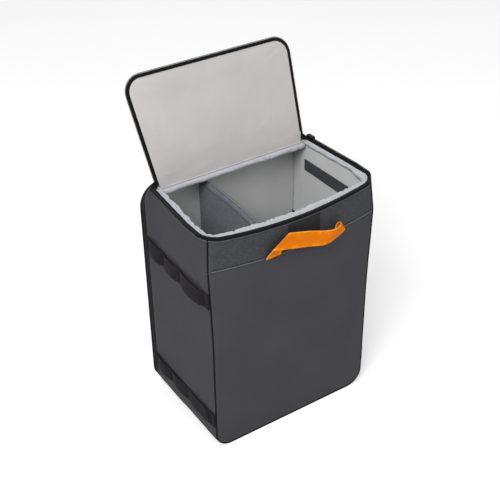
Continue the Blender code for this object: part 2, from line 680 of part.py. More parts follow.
def handle():
    """The carrying handle: a flat band of webbing that rises from one foot and returns to the other."""
    start, end = handle_axis()
    span = np.linalg.norm(end - start)
    along = (end - start) / span
    turn = np.linspace(0, QUARTER, CORNER_STEPS + 1)
    rise = HANDLE_FOOT + HANDLE_BEND * np.sin(turn)
    travel = HANDLE_BEND * (1 - np.cos(turn))
    middle = np.linspace(HANDLE_BEND, span - HANDLE_BEND, EDGE_STEPS + 2)[1:-1]
    place = np.concatenate([(0,), travel, middle, span - travel[::-1], (span,)])
    height = np.concatenate([(0,), rise, np.full_like(middle, rise[-1]), rise[::-1], (0,)])
    angle = np.concatenate([(0,), turn, np.full_like(middle, QUARTER), math.pi - turn[::-1], (math.pi,)])
    place, height, angle = place[1:-1], height[1:-1], angle[1:-1]
    out = HANDLE_STAND * smooth(np.sin(math.pi * place / span))
    rings = []
    for where, up, turned, stand in zip(place, height, angle, out):
        centre = start + along * where + np.array((0, -stand, up))
        across = along * math.cos(turned) - np.array((0, 0, math.sin(turned)))
        side = across * HANDLE_WIDTH / 2
        face = np.array((0, HANDLE_THICKNESS / 2, 0))
        rings.append((centre - side - face, centre + side - face, centre + side + face, centre - side + face))
    return swept_bar(np.array(rings))


def lid_slider():
    """The lid's zip slider, a C over the rim's coil on the right."""
    top = 2 * COIL_RADIUS + GAP
    inner = COIL_RADIUS + GAP
    corners = ((-SLIDER_HALF_WIDTH, SLIDER_SKIRT), (-inner, SLIDER_SKIRT), (-inner, top), (inner, top),
               (inner, LID_SLIDER_INNER_FOOT), (SLIDER_HALF_WIDTH, LID_SLIDER_INNER_FOOT),
               (SLIDER_HALF_WIDTH, top + SLIDER_WALL), (-SLIDER_HALF_WIDTH, top + SLIDER_WALL))
    ends = (LID_SLIDER_Y - SLIDER_LENGTH / 2, LID_SLIDER_Y + SLIDER_LENGTH / 2)
    rings = [[(HALF_WIDTH - depth, y, BODY_HEIGHT + rise) for depth, rise in corners] for y in ends]
    return swept_bar(settle(rings))


def lid_pull_ends():
    """The two ends of the axis on which the lid's pull hangs."""
    y = (LID_SLIDER_Y - PULL_WIDTH / 2, LID_SLIDER_Y + PULL_WIDTH / 2)
    return settle([(HALF_WIDTH - LID_PULL_DEPTH, place, BODY_HEIGHT + LID_PULL_RISE) for place in y])


def lid_pull():
    """The lid's pull, hanging outside the right wall."""
    rings = []
    for end in lid_pull_ends():
        half = PULL_THICKNESS / 2
        corners = ((-half, PULL_EYE), (half, PULL_EYE), (half, -LID_PULL_LENGTH), (-half, -LID_PULL_LENGTH))
        rings.append([end + np.array((x, 0, z)) for x, z in corners])
    return swept_bar(np.array(rings))


def door_slider(middle_x):
    """A slider over the zip of the door on the top run."""
    ridge_top = GAP + DOOR_SLIDER_THICKNESS + DOOR_SLIDER_RIDGE
    outline = ((DOOR_SLIDER_FRONT_Y, GAP), (DOOR_SLIDER_REAR_Y, GAP), (DOOR_SLIDER_REAR_Y, ridge_top),
               (DOOR_SLIDER_RIDGE_FRONT_Y, ridge_top), (DOOR_SLIDER_RIDGE_FRONT_Y, GAP + DOOR_SLIDER_THICKNESS),
               (DOOR_SLIDER_FRONT_Y, GAP + DOOR_SLIDER_THICKNESS))
    corners = [(y, rear_top(y) + rise) for y, rise in outline]
    return extrude_x(corners, middle_x - SLIDER_LENGTH / 2, middle_x + SLIDER_LENGTH / 2)


def door_pull(middle_x):
    """A pull of the door's zip, lying forwards on the sloping strip."""
    outline = ((DOOR_PULL_Y + PULL_EYE, -1), (DOOR_PULL_Y + PULL_EYE, 1),
               (DOOR_PULL_Y - DOOR_PULL_LENGTH, 1), (DOOR_PULL_Y - DOOR_PULL_LENGTH, -1))
    half = PULL_THICKNESS / 2
    corners = [(y, rear_top(y) + DOOR_PULL_RISE + side * half) for y, side in outline]
    return extrude_x(corners, middle_x - PULL_WIDTH / 2, middle_x + PULL_WIDTH / 2)


def build_walls(colours):
    """The fixed walls of the box: shells, foam boards and linings."""
    grey, foam, lining = colours["body"], colours["foam"], colours["lining"]
    panel_rows = np.linspace(0, BAND_SEAM_Z - GAP / 2, LOW_ROWS)
    band_rows = np.linspace(BAND_SEAM_Z + GAP / 2, BODY_HEIGHT - SHELL_TOP_INSET, BAND_ROWS + 1)
    foam_rows = wall_rows(0, FOAM_TOP_INSET)
    mitre = GAP / 2
    layers = (
        ("foam", FOAM_DEPTH, FOAM, foam),
        ("lining", LINING_DEPTH, LINING, lining),
    )
    add_piece("front_panel", sheet_between(front_grid, 0, SHELL, PIPING_ROOM, panel_rows, True), grey)
    add_piece("front_band", sheet_between(front_grid, 0, SHELL, PIPING_ROOM, band_rows, False), colours["band"])
    add_piece("base_panel", sheet_between(base_grid, 0, SHELL, PIPING_ROOM, SHELL_REAR_Y), grey)
    add_piece("rear_top_panel", sheet_between(rear_strip_grid, 0, SHELL, SHELL_REAR_Y), grey)
    for layer, depth, thickness, material in layers:
        front = sheet_between(front_grid, depth, thickness, mitre, foam_rows, True)
        add_piece(f"front_{layer}", front, material)
        add_piece(f"base_{layer}", sheet_between(base_grid, depth, thickness, mitre, FOAM_REAR_Y), material)
        strip = sheet_between(rear_strip_grid, depth, thickness, FOAM_REAR_Y)
        add_piece(f"rear_top_{layer}", strip, material)
    for side, sign in (("left", -1), ("right", 1)):
        build_side(side, sign, layers, colours, mitre)


def build_side(side, sign, layers, colours, mitre):
    """One side wall with its layers and its two rows of webbing."""

    def wall_at(depth, room, top_inset, rear_y):
        return side_grid(sign, depth, room, top_inset, rear_y)

    panel = sheet_between(wall_at, 0, SHELL, PIPING_ROOM, SHELL_TOP_INSET, SHELL_REAR_Y)
    add_piece(f"{side}_side_panel", panel, colours["body"])
    for layer, depth, thickness, material in layers:
        board = sheet_between(wall_at, depth, thickness, mitre, FOAM_TOP_INSET, FOAM_REAR_Y)
        add_piece(f"{side}_{layer}", board, material)
    for level, height in (("upper", STRAP_UPPER_Z), ("lower", STRAP_LOWER_Z)):
        add_piece(f"{side}_{level}_webbing", strap(sign, height), colours["webbing"])


def build_rim(colours):
    """Piping, rolled lip, zip tape and coil of the opening, and the lid's fabric hinge."""
    add_piece("front_piping", ring_round_front(), colours["trim"])
    add_piece("rim_lip", swept_bar(rim_rings(LIP_OUTLINE, LIP_END_Y)), colours["lip"])
    tape = ((-TAPE_EDGE, -TAPE_SKIRT), (TAPE_THICKNESS - TAPE_EDGE, -TAPE_SKIRT),
            (TAPE_THICKNESS - TAPE_EDGE, TAPE_BASE), (TAPE_WIDTH, TAPE_BASE), (TAPE_WIDTH, TAPE_TOP),
            (-TAPE_EDGE, TAPE_TOP))
    add_piece("body_zip_tape", swept_bar(rim_rings(tape, TAPE_END_Y)), colours["trim"])
    coil = rod_outline(0, COIL_RADIUS, COIL_RADIUS)
    add_piece("body_zip_coil", swept_bar(rim_rings(coil, TAPE_END_Y)), colours["coil"])
    lip_low = BODY_HEIGHT - HINGE_LIP_TOP - HINGE_LIP_HEIGHT
    lip_top = BODY_HEIGHT - HINGE_LIP_TOP
    lip_rear_y = HINGE_Y + HINGE_ROOM - GAP
    lip = ((HINGE_LIP_FRONT_Y, lip_low + HINGE_LIP_ROUND), (HINGE_LIP_FRONT_Y + HINGE_LIP_ROUND, lip_low),
           (lip_rear_y, lip_low), (lip_rear_y, lip_top), (HINGE_LIP_FRONT_Y + HINGE_LIP_ROUND, lip_top),
           (HINGE_LIP_FRONT_Y, lip_top - HINGE_LIP_ROUND))
    reach = HALF_WIDTH - HINGE_SHOULDER - GAP
    rings = [[(x, y, z) for y, z in lip] for x in np.linspace(-reach, reach, EDGE_STEPS)]
    add_piece("hinge_lip", swept_bar(settle(rings)), colours["lip"])
    add_piece("lid_hinge", hinge_web(), colours["trim"])


def hinge_web():
    """The lid's fabric hinge: a rolled edge on the axis with a leaf sewn to the strip behind it."""
    angle = np.linspace(-DIAGONAL / 2, math.pi + DIAGONAL, ROD_SIDES)
    roll = [(HINGE_Y + HINGE_ROD_RADIUS * math.cos(a), AXIS_Z + HINGE_ROD_RADIUS * math.sin(a)) for a in angle]
    leaf_end = HINGE_Y + HINGE_LEAF
    leaf_start = HINGE_Y + HINGE_ROOM
    roll += [(leaf_start, rear_top(leaf_start) + GAP), (leaf_end, rear_top(leaf_end) + GAP),
             (leaf_end, rear_top(leaf_end) + GAP + HINGE_LEAF_THICKNESS)]
    reach = LID_HINGE_HALF_WIDTH
    return extrude_x(roll, -reach, reach)


def build_lid(colours):
    """The lid on its axis: cover, foam, lining, binding and its half of the zip."""
    turn = Matrix.Rotation(-LID_OPEN_ANGLE, 4, "X")
    lid = add_pivot("lid_axis", (0, HINGE_Y, AXIS_Z), turn)
    foam_top = LID_TOP - SHELL - GAP
    cover = lid_sheet(LID_SHEET_INSET, LID_TOP, lambda edge: SHELL + 0 * edge, rows=EDGE_STEPS)
    add_piece("lid_cover", cover, colours["band"], lid)
    pad_start = LID_START + LID_PAD_INSET
    add_piece("lid_foam", lid_sheet(LID_PAD_INSET, foam_top, pad_foam, pad_start), colours["foam"], lid)
    add_piece("lid_lining", lid_lining(foam_top, pad_start), colours["lid_lining"], lid)
    tape_end = LID_SHEET_INSET + LID_TAPE_WIDTH
    tape = ((LID_SHEET_INSET, foam_top), (tape_end, foam_top),
            (tape_end, foam_top - LID_TAPE_THICKNESS), (LID_SHEET_INSET, foam_top - LID_TAPE_THICKNESS))
    add_piece("lid_zip_tape", lid_rings(tape), colours["trim"], lid)
    coil = rod_outline(0, LID_COIL_RISE, COIL_RADIUS)
    add_piece("lid_zip_coil", lid_rings(coil), colours["coil"], lid)
    binding_end = LID_BINDING_INSET + LID_BINDING_WIDTH
    binding = ((LID_BINDING_INSET, foam_top), (binding_end, foam_top),
               (binding_end, foam_top - LID_BINDING_DEPTH), (LID_BINDING_INSET, foam_top - LID_BINDING_DEPTH))
    add_piece("lid_binding", lid_rings(binding), colours["trim"], lid)


def lid_lining(foam_top, start):
    """The lid's inner face, which follows the crowned foam."""
    points, faces = lid_sheet(LID_PAD_INSET, foam_top, lambda edge: pad_foam(edge) + GAP, start)
    points = points.copy()
    half = len(points) // 2
    points[:half] = points[half:]
    points[half:, 2] -= LINING
    return points, faces


def build_door(colours):
    """The rear door on its axis, and the zip tape and coil that stay on the box."""
    tape = ((0, DOOR_TAPE_FRONT_Y), (DOOR_TAPE_DEPTH, DOOR_TAPE_FRONT_Y),
            (DOOR_TAPE_DEPTH, DOOR_TAPE_REAR_Y), (0, DOOR_TAPE_REAR_Y))
    add_piece("door_zip_tape_body", rear_rings(tape, True), colours["trim"])
    body_coil = rod_outline(DOOR_COIL_INSET, BODY_COIL_Y, DOOR_COIL_RADIUS)
    add_piece("door_zip_coil_body", rear_rings(body_coil, False), colours["coil"])
    web_far = HALF_WIDTH + GAP + DOOR_WEB_THICKNESS
    corners = ((HALF_WIDTH + GAP, DOOR_WEB_FRONT_Y), (web_far, DOOR_WEB_FRONT_Y), (web_far, HALF_DEPTH),
               (HALF_WIDTH + GAP, HALF_DEPTH))
    rings = [[(x, y, z) for x, y in corners] for z in (DOOR_WEB_LOW_Z, DOOR_WEB_HIGH_Z)]
    add_piece("door_hinge", swept_bar(np.array(rings)), colours["trim"])
    place = (HALF_WIDTH, HALF_DEPTH, 0)
    door = add_pivot("door_axis", place)
    cover = rear_sheet(DOOR_COVER_INSET, DOOR_COVER_REAR_Y - SHELL, DOOR_COVER_REAR_Y)
    foam = rear_sheet(DOOR_PAD_INSET, DOOR_FOAM_FRONT_Y, DOOR_PAD_REAR_Y)
    lining = rear_sheet(DOOR_PAD_INSET, DOOR_FOAM_FRONT_Y - GAP - LINING, DOOR_FOAM_FRONT_Y - GAP)
    binding = ((0, DOOR_BINDING_FRONT_Y), (DOOR_BINDING_WIDTH, DOOR_BINDING_FRONT_Y),
               (DOOR_BINDING_WIDTH, HALF_DEPTH), (0, HALF_DEPTH))
    stay_start = DOOR_COVER_INSET
    stay_end = DOOR_COVER_INSET + DOOR_STAY_WIDTH
    stay = ((stay_start, DOOR_STAY_FRONT_Y), (stay_end, DOOR_STAY_FRONT_Y),
            (stay_end, DOOR_PAD_REAR_Y), (stay_start, DOOR_PAD_REAR_Y))
    door_coil = rod_outline(DOOR_COIL_INSET, DOOR_COIL_Y, DOOR_COIL_RADIUS)
    pieces = (
        ("door_cover", cover, "body"),
        ("door_foam", foam, "foam"),
        ("door_lining", lining, "lining"),
        ("door_binding", rear_rings(binding, True), "trim"),
        ("door_zip_tape", rear_rings(stay, True), "trim"),
        ("door_zip_coil", rear_rings(door_coil, False), "coil"),
    )
    for name, (points, faces), colour in pieces:
        add_piece(name, (points - np.array(place), faces), colours[colour], door)


def build_dividers(colours):
    """The padded dividers and the fastening strip."""
    add_piece("long_divider", long_divider(), colours["divider"])
    left_start = WALL + DIVIDER_ROOM - HALF_WIDTH
    left_end = DIVIDER_X - DIVIDER_THICKNESS / 2 - GAP
    right_start = DIVIDER_X + DIVIDER_THICKNESS / 2 + GAP
    right_end = HALF_WIDTH - WALL - DIVIDER_ROOM
    shelves = (
        ("left_shelf_upper", left_start, left_end, BODY_HEIGHT * LEFT_SHELF_UPPER_SHARE),
        ("left_shelf_lower", left_start, left_end, BODY_HEIGHT * LEFT_SHELF_LOWER_SHARE),
        ("right_shelf_upper", right_start, right_end, BODY_HEIGHT * RIGHT_SHELF_UPPER_SHARE),
        ("right_shelf_lower", right_start, right_end, BODY_HEIGHT * RIGHT_SHELF_LOWER_SHARE),
    )
    for name, start, end, height in shelves:
        add_piece(name, shelf(start, end, height), colours["divider"])
    add_piece("right_wall_strip", wall_strip(), colours["divider"])


def build_handling(colours):
    """Handle, label, and the zip sliders with their pulls."""
    foot = handle_axis()[0]
    add_piece("front_handle", handle(), colours["handle"], origin=foot)
    add_piece("label_patch", label_patch(), colours["label"])
    track = settle((HALF_WIDTH, LID_SLIDER_Y, BODY_HEIGHT))
    add_piece("lid_zip_slider", lid_slider(), colours["metal"], origin=track)
    add_piece("lid_zip_pull", lid_pull(), colours["trim"], origin=lid_pull_ends()[0])
    for side, x in (("left", -DOOR_SLIDER_X), ("right", DOOR_SLIDER_X)):
        axis = (x, DOOR_PULL_Y, rear_top(DOOR_PULL_Y) + DOOR_PULL_RISE)
        add_piece(f"door_zip_slider_{side}", door_slider(x), colours["metal"], origin=axis)
        add_piece(f"door_zip_pull_{side}", door_pull(x), colours["trim"], origin=axis)


def main():
    """Clear the scene and build the insert."""
    for old in list(bpy.data.objects):
        bpy.data.objects.remove(old, do_unlink=True)
    colours = {
        "body": fabric("charcoal_fabric", (0.060, 0.060, 0.066), 0.75),
        "band": fabric("charcoal_band", (0.072, 0.074, 0.080), 0.80),
        "trim": fabric("black_trim", (0.012, 0.012, 0.013), 0.65),
        "coil": fabric("black_coil", (0.016, 0.016, 0.017), 0.45),
        "webbing": fabric("dark_webbing", (0.022, 0.019, 0.022), 0.80),
        "foam": fabric("white_foam", (0.75, 0.75, 0.74), 0.90),
        "lining": fabric("grey_lining", (0.42, 0.43, 0.44), 0.85),
        "lip": fabric("light_lip", (0.50, 0.51, 0.53), 0.85),
        "lid_lining": fabric("warm_lining", (0.52, 0.50, 0.49), 0.85),
        "divider": fabric("heather_divider", (0.20, 0.21, 0.23), 0.90),
        "handle": fabric("orange_webbing", (0.90, 0.29, 0.01), 0.70),
        "label": fabric("dark_label", (0.020, 0.022, 0.022), 0.60),
        "metal": fabric("black_metal", (0.02, 0.02, 0.02), 0.40, 1),
    }
    build_walls(colours)
    build_rim(colours)
    build_lid(colours)
    build_door(colours)
    build_dividers(colours)
    build_handling(colours)


main()
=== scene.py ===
"""The looks of the camera bag insert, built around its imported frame.

Everything is in metres. A wall is drawn as a straight-sided pattern first, as a grid of rows and columns,
and Standing.settle() then bows it the way the used bag stands. Cloth gets its relief along its own normals.
"""
import json
import logging
import math
from dataclasses import dataclass, field
from enum import Enum
from typing import Callable

import bmesh
import bpy
import numpy as np
from mathutils import Matrix, Vector

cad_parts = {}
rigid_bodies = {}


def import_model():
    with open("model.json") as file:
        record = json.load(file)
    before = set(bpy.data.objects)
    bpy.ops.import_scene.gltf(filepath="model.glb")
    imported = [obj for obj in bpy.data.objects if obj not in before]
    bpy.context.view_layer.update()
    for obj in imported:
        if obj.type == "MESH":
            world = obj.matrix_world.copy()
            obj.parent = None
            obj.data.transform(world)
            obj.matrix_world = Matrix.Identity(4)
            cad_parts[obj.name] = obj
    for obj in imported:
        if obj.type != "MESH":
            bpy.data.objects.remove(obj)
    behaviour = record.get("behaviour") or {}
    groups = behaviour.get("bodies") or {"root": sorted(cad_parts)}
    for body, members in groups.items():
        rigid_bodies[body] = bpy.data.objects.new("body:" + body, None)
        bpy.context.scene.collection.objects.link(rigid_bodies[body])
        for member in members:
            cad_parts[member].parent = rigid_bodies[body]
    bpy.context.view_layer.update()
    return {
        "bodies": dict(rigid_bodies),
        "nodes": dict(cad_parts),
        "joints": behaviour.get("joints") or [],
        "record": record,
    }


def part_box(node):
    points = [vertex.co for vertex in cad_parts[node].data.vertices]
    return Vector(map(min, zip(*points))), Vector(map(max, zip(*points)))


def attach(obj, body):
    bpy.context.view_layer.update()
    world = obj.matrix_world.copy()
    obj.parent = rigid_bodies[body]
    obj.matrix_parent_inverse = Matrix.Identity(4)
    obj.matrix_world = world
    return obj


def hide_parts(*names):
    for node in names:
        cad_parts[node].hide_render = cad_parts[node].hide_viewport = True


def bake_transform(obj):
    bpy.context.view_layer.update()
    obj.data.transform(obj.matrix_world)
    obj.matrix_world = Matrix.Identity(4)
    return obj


LOG = logging.getLogger("insert")
QUARTER = math.pi / 2
DIAGONAL = math.pi / 4
FULL_TURN = 2 * math.pi
MM = 0.001
CLOTH_MAP = "cloth"
EDGE_WEAR_AND_HIGHLIGHT_MAP = "edge_wear_and_highlight"
Colour = tuple[float, float, float]


class Side(Enum):
    """The two sides of the bag."""

    LEFT = -1
    RIGHT = 1


class Face(Enum):
    """How the threads of a finish show."""

    WOVEN = "woven"
    RIBBED = "ribbed"
    BRUSHED = "brushed"


# Arithmetic on whole grids


def ease(share: np.ndarray) -> np.ndarray:
    """Ease from 0 to 1 with level ends: s squared times three less two s."""
    share = np.clip(share, 0, 1)
    return share * share * (3 - 2 * share)


def hump(distance: np.ndarray, reach: float) -> np.ndarray:
    """A bell of height 1 that falls off with the square of distance over reach."""
    return np.exp(-(distance / reach) ** 2)


def ripple(points: np.ndarray, size: float, seed: int, count: int = 16) -> np.ndarray:
    """Smooth noise of about -1 to 1: the scaled mean of plane waves drawn from a seed.

    Args:
        points: places, last axis of three.
        size: typical wavelength.
        seed: start of the random draw.
        count: number of waves.

    Returns:
        One value for each place.
    """
    draw = np.random.default_rng(seed)
    heading = draw.normal(size=(count, 3))
    heading /= np.linalg.norm(heading, axis=1)[:, None]
    wave = FULL_TURN / (size * draw.uniform(0.7, 1.6, count))
    phase = draw.uniform(0, FULL_TURN, count)
    waves = np.sin(points @ (heading * wave[:, None]).T + phase)
    return waves.sum(-1) / math.sqrt(count)


def ripples(points: np.ndarray, *parts: tuple[float, float, int]) -> np.ndarray:
    """The sum of ripples, each given by its height and its size in millimetres and its seed."""
    return sum(height * MM * ripple(points, size * MM, seed) for height, size, seed in parts)


def creases(run: np.ndarray, across: np.ndarray, seed: int, spacing: float = 13 * MM) -> np.ndarray:
    """Narrow slanted folds at uneven places along a gathered edge, each from 0 to 1 deep.

    Args:
        run: distance along the edge.
        across: distance across it.
        seed: start of the random numbers.
        spacing: mean distance between folds.

    Returns:
        The depth of the folds at each point.
    """
    chance = np.random.default_rng(seed)
    count = max(2, int(np.ptp(run) / spacing))
    place = run.min() + np.ptp(run) * (np.arange(count) + chance.uniform(0.15, 0.85, count)) / count
    slant, width = chance.uniform(-0.7, 0.7, count), chance.uniform(1.0, 2.6, count) * MM
    depth = chance.uniform(0.35, 1.0, count)
    away = run[..., None] - place - slant * across[..., None]
    return np.clip((depth * np.exp(-(away / width) ** 2)).sum(-1), 0, 1)


def placed(x: np.ndarray | float, y: np.ndarray | float, z: np.ndarray | float) -> np.ndarray:
    """Places from their X, Y and Z, each spread to the shape of all three."""
    return np.stack(np.broadcast_arrays(x, y, z), axis=-1)


def run_along(grid: np.ndarray, axis: int) -> np.ndarray:
    """Length along a grid's rows or columns, counted from their middle."""
    step = np.linalg.norm(np.diff(grid, axis=axis), axis=-1)
    start = np.zeros_like(np.take(step, [0], axis=axis))
    run = np.concatenate([start, np.cumsum(step, axis=axis)], axis=axis)
    middle = np.take(run, [run.shape[axis] // 2], axis=axis)
    return run - middle


def normals_of(grid: np.ndarray, away_from: np.ndarray) -> np.ndarray:
    """Unit normals of a grid, the cross product of its directions, turned away from a second grid."""
    normal = np.cross(np.gradient(grid, axis=1), np.gradient(grid, axis=0))
    normal /= np.maximum(np.linalg.norm(normal, axis=-1, keepdims=True), 1e-12)
    facing = np.sign(np.mean(np.sum(normal * (grid - away_from), axis=-1)))
    return normal * (facing or 1.0)


def edge_distance(grid: np.ndarray) -> np.ndarray:
    """Distance of each grid point from the nearest of the grid's four borders, along the cloth."""
    across, along = run_along(grid, 1), run_along(grid, 0)
    sides = [across - across[:, :1], across[:, -1:] - across, along - along[:1], along[-1:] - along]
    return np.minimum.reduce(sides)


# Meshes


@dataclass
class Skin:
    """Points, faces, cloth coordinates of each face's corners, and how much each point is lightened near
    edges, as abrasion and a painted highlight.
    """

    points: np.ndarray
    faces: list[list[int]]
    cloth: np.ndarray
    edge_wear_and_highlight: np.ndarray


def as_one(skins: list[Skin]) -> Skin:
    """Several skins as one: their parts in a row, with each skin's faces counted on from the last."""
    faces = []
    shift = 0
    for skin in skins:
        faces += [[corner + shift for corner in face] for face in skin.faces]
        shift += len(skin.points)
    parts = [np.concatenate([getattr(skin, name) for skin in skins]) for name in ("points", "cloth", "edge_wear_and_highlight")]
    return Skin(parts[0], faces, parts[1], parts[2])


def quads_of(index: np.ndarray) -> np.ndarray:
    """Four-sided faces between the neighbours of an index grid."""
    corners = [index[:-1, :-1], index[:-1, 1:], index[1:, 1:], index[1:, :-1]]
    return np.stack(corners, axis=-1).reshape(-1, 4)


def closed_skin(outer: np.ndarray, inner: np.ndarray) -> Skin:
    """The closed sheet between two grids of equal size.

    Args:
        outer: grid of the side that shows.
        inner: grid of the back.

    Returns:
        A skin whose cloth coordinates are lengths along the rows and columns.
    """
    rows, columns = outer.shape[:2]
    shift = rows * columns
    index = np.arange(shift).reshape(rows, columns)
    front = quads_of(index)
    border = np.concatenate([index[0, :-1], index[:-1, -1], index[-1, :0:-1], index[:0:-1, 0]])
    ahead = np.roll(border, -1)
    walls = np.stack([border, border + shift, ahead + shift, ahead], axis=-1)
    faces = np.concatenate([front, front[:, ::-1] + shift, walls])
    place = np.stack([run_along(outer, 1), run_along(outer, 0)], axis=-1).reshape(-1, 2)
    place = np.concatenate([place, place])
    # Edge weight, 1 at the border and falling off over 5 mm: the material lightens the cloth there, as
    # abrasion and a painted highlight.
    edge_wear_and_highlight = hump(edge_distance(outer), 5 * MM).ravel()
    points = np.concatenate([outer.reshape(-1, 3), inner.reshape(-1, 3)])
    return Skin(points, faces.tolist(), place[faces].reshape(-1, 2), np.concatenate([edge_wear_and_highlight, edge_wear_and_highlight]))


def tube_skin(rings: np.ndarray, closed: bool = False) -> Skin:
    """A tube through a row of equal rings, capped unless its path is closed.

    Args:
        rings: places, as path by ring by three.
        closed: whether the path comes back to its start.

    Returns:
        A skin whose cloth coordinates run along the path and round the ring.
    """
    count, around = rings.shape[:2]
    index = np.arange(count * around).reshape(count, around)
    span = np.linalg.norm(np.diff(np.concatenate([rings, rings[:1]]).mean(1), axis=0), axis=-1)
    path = np.concatenate([[0], np.cumsum(span)])
    girth = np.linalg.norm(rings[0] - np.roll(rings[0], -1, axis=0), axis=-1)
    turn = np.concatenate([[0], np.cumsum(girth)])
    wrapped = np.concatenate([index, index[:, :1]], axis=1)
    if closed:
        wrapped = np.concatenate([wrapped, wrapped[:1]])
    faces = quads_of(wrapped).tolist()
    lattice = np.stack(np.meshgrid(turn, path[: len(wrapped)]), axis=-1)
    slots = quads_of(np.arange(lattice.shape[0] * lattice.shape[1]).reshape(lattice.shape[:2]))
    cloth = lattice.reshape(-1, 2)[slots].reshape(-1, 2)
    if not closed:
        faces += [index[0, ::-1].tolist(), index[-1].tolist()]
        cloth = np.concatenate([cloth, np.zeros((2 * around, 2))])
    # A tube gets an edge weight of 0.3 everywhere, for abrasion and a painted highlight.
    return Skin(rings.reshape(-1, 3), faces, cloth, np.full(count * around, 0.3))


def frames_of(path: np.ndarray, up: np.ndarray) -> tuple[np.ndarray, np.ndarray]:
    """Two unit directions square to a path: one near to up, and one square to both.

    Args:
        path: points along a line.
        up: a direction, or one for each point.

    Returns:
        The upward and the sideways directions.
    """
    ahead = np.gradient(path, axis=0)
    ahead = ahead / np.linalg.norm(ahead, axis=-1, keepdims=True)
    sideways = np.cross(ahead, np.broadcast_to(up, path.shape))
    sideways /= np.linalg.norm(sideways, axis=-1, keepdims=True)
    return np.cross(sideways, ahead), sideways


def evenly(path: np.ndarray, step: float) -> np.ndarray:
    """The points of a path set out again at even steps along its length."""
    run = np.concatenate([[0], np.cumsum(np.linalg.norm(np.diff(path, axis=0), axis=-1))])
    count = max(2, int(round(run[-1] / step)) + 1)
    places = np.linspace(0, run[-1], count)
    return np.stack([np.interp(places, run, path[:, axis]) for axis in range(3)], axis=-1)


def cord_skin(path: np.ndarray, radius: float, sides: int = 8) -> Skin:
    """A round cord along a path: a ring of the radius square to it at each point."""
    up, sideways = frames_of(path, np.array((0.03, 0.05, 1.0)))
    angle = np.linspace(0, FULL_TURN, sides, endpoint=False)
    rings = up[:, None] * np.cos(angle)[:, None] + sideways[:, None] * np.sin(angle)[:, None]
    return tube_skin(path[:, None] + rings * radius)


@dataclass(frozen=True)
class CoilSizes:
    """Sizes of a zip coil's wire."""

    pitch: float = 1.9 * MM
    width: float = 1.05 * MM
    height: float = 0.85 * MM
    wire: float = 0.45 * MM
    steps: int = 8


def coil_skin(path: np.ndarray, up: np.ndarray, sizes: CoilSizes) -> Skin:
    """The wire of a zip coil: a flattened helix round a path.

    The wire's middle is at the path plus height times cosine and width times sine of the turn's angle, and
    the wire itself is a ring of its radius square to that helix.

    Args:
        path: the coil's middle line.
        up: the direction in which the coil is low.
        sizes: pitch, width, height and wire of the coil.

    Returns:
        The skin of the wire.
    """
    fine = evenly(path, sizes.pitch / sizes.steps)
    rise, sideways = frames_of(fine, up)
    angle = (np.arange(len(fine)) * FULL_TURN / sizes.steps)[:, None]
    helix = fine + rise * np.cos(angle) * sizes.height + sideways * np.sin(angle) * sizes.width
    return cord_skin(helix, sizes.wire, 4)


def stitch_skin(path: np.ndarray, up: np.ndarray | Callable[[np.ndarray], np.ndarray],
                length: float = 2.4 * MM, gap: float = 0.9 * MM,
                width: float = 0.55 * MM) -> Skin:
    """A row of stitches on a line: each is a low four-sided lens that dips into the cloth at its ends.

    Args:
        path: the seam.
        up: the direction away from the cloth, or a function that gives it for places.
        length: length of one stitch.
        gap: distance between stitches.
        width: width of the thread.

    Returns:
        The skin of all stitches.
    """
    step = length + gap
    middle = evenly(path, step / 2)[1::2]
    if len(middle) < 2:
        middle = path[[0, -1]]
    rise, sideways = frames_of(middle, up(middle) if callable(up) else up)
    ahead = np.cross(rise, sideways)
    places = np.array(((-1, 0, -0.3), (-0.5, 1, 0.5), (0.5, 1, 0.5), (1, 0, -0.3),
                       (0.5, -1, 0.5), (-0.5, -1, 0.5), (0, 0, 1), (0, 0, -0.8)))
    half = np.array((length / 2, width / 2, width))
    local = places * half
    points = (middle[:, None] + ahead[:, None] * local[:, 0:1] + sideways[:, None] * local[:, 1:2]
              + rise[:, None] * local[:, 2:3])
    ring = np.arange(6)
    after = np.roll(ring, -1)
    upper = np.stack([ring, after, np.full(6, 6)], axis=-1)
    lower = np.stack([after, ring, np.full(6, 7)], axis=-1)
    one = np.concatenate([upper, lower])
    faces = (one[None] + np.arange(len(middle))[:, None, None] * len(places)).reshape(-1, 3)
    flat = points.reshape(-1, 3)
    return Skin(flat, faces.tolist(), flat[faces][..., :2].reshape(-1, 2), np.zeros(len(flat)))


def mesh_of(name: str, skin: Skin) -> bpy.types.Object:
    """A mesh object at the origin from a skin, facing outwards and shaded smooth."""
    mesh = bpy.data.meshes.new(name)
    mesh.from_pydata(skin.points.tolist(), [], skin.faces)
    mesh.uv_layers.new(name=CLOTH_MAP).data.foreach_set("uv", skin.cloth.astype(np.float32).ravel())
    mesh.attributes.new(EDGE_WEAR_AND_HIGHLIGHT_MAP, "FLOAT", "POINT").data.foreach_set("value", skin.edge_wear_and_highlight.astype(np.float32))
    form = bmesh.new()
    form.from_mesh(mesh)
    bmesh.ops.recalc_face_normals(form, faces=form.faces)
    form.to_mesh(mesh)
    form.free()
    mesh.shade_smooth()
    mesh.set_sharp_from_angle(angle=math.radians(50))
    piece = bpy.data.objects.new(name, mesh)
    bpy.context.scene.collection.objects.link(piece)
    return piece


def points_of(piece: bpy.types.Object) -> np.ndarray:
    """The places of a piece's points, one row each."""
    places = np.zeros(len(piece.data.vertices) * 3)
    piece.data.vertices.foreach_get("co", places)
    return places.reshape(-1, 3)


def put_points(piece: bpy.types.Object, places: np.ndarray) -> None:
    """Move a piece's points to new places."""
    piece.data.vertices.foreach_set("co", places.ravel())
    piece.data.update()


# Finishes


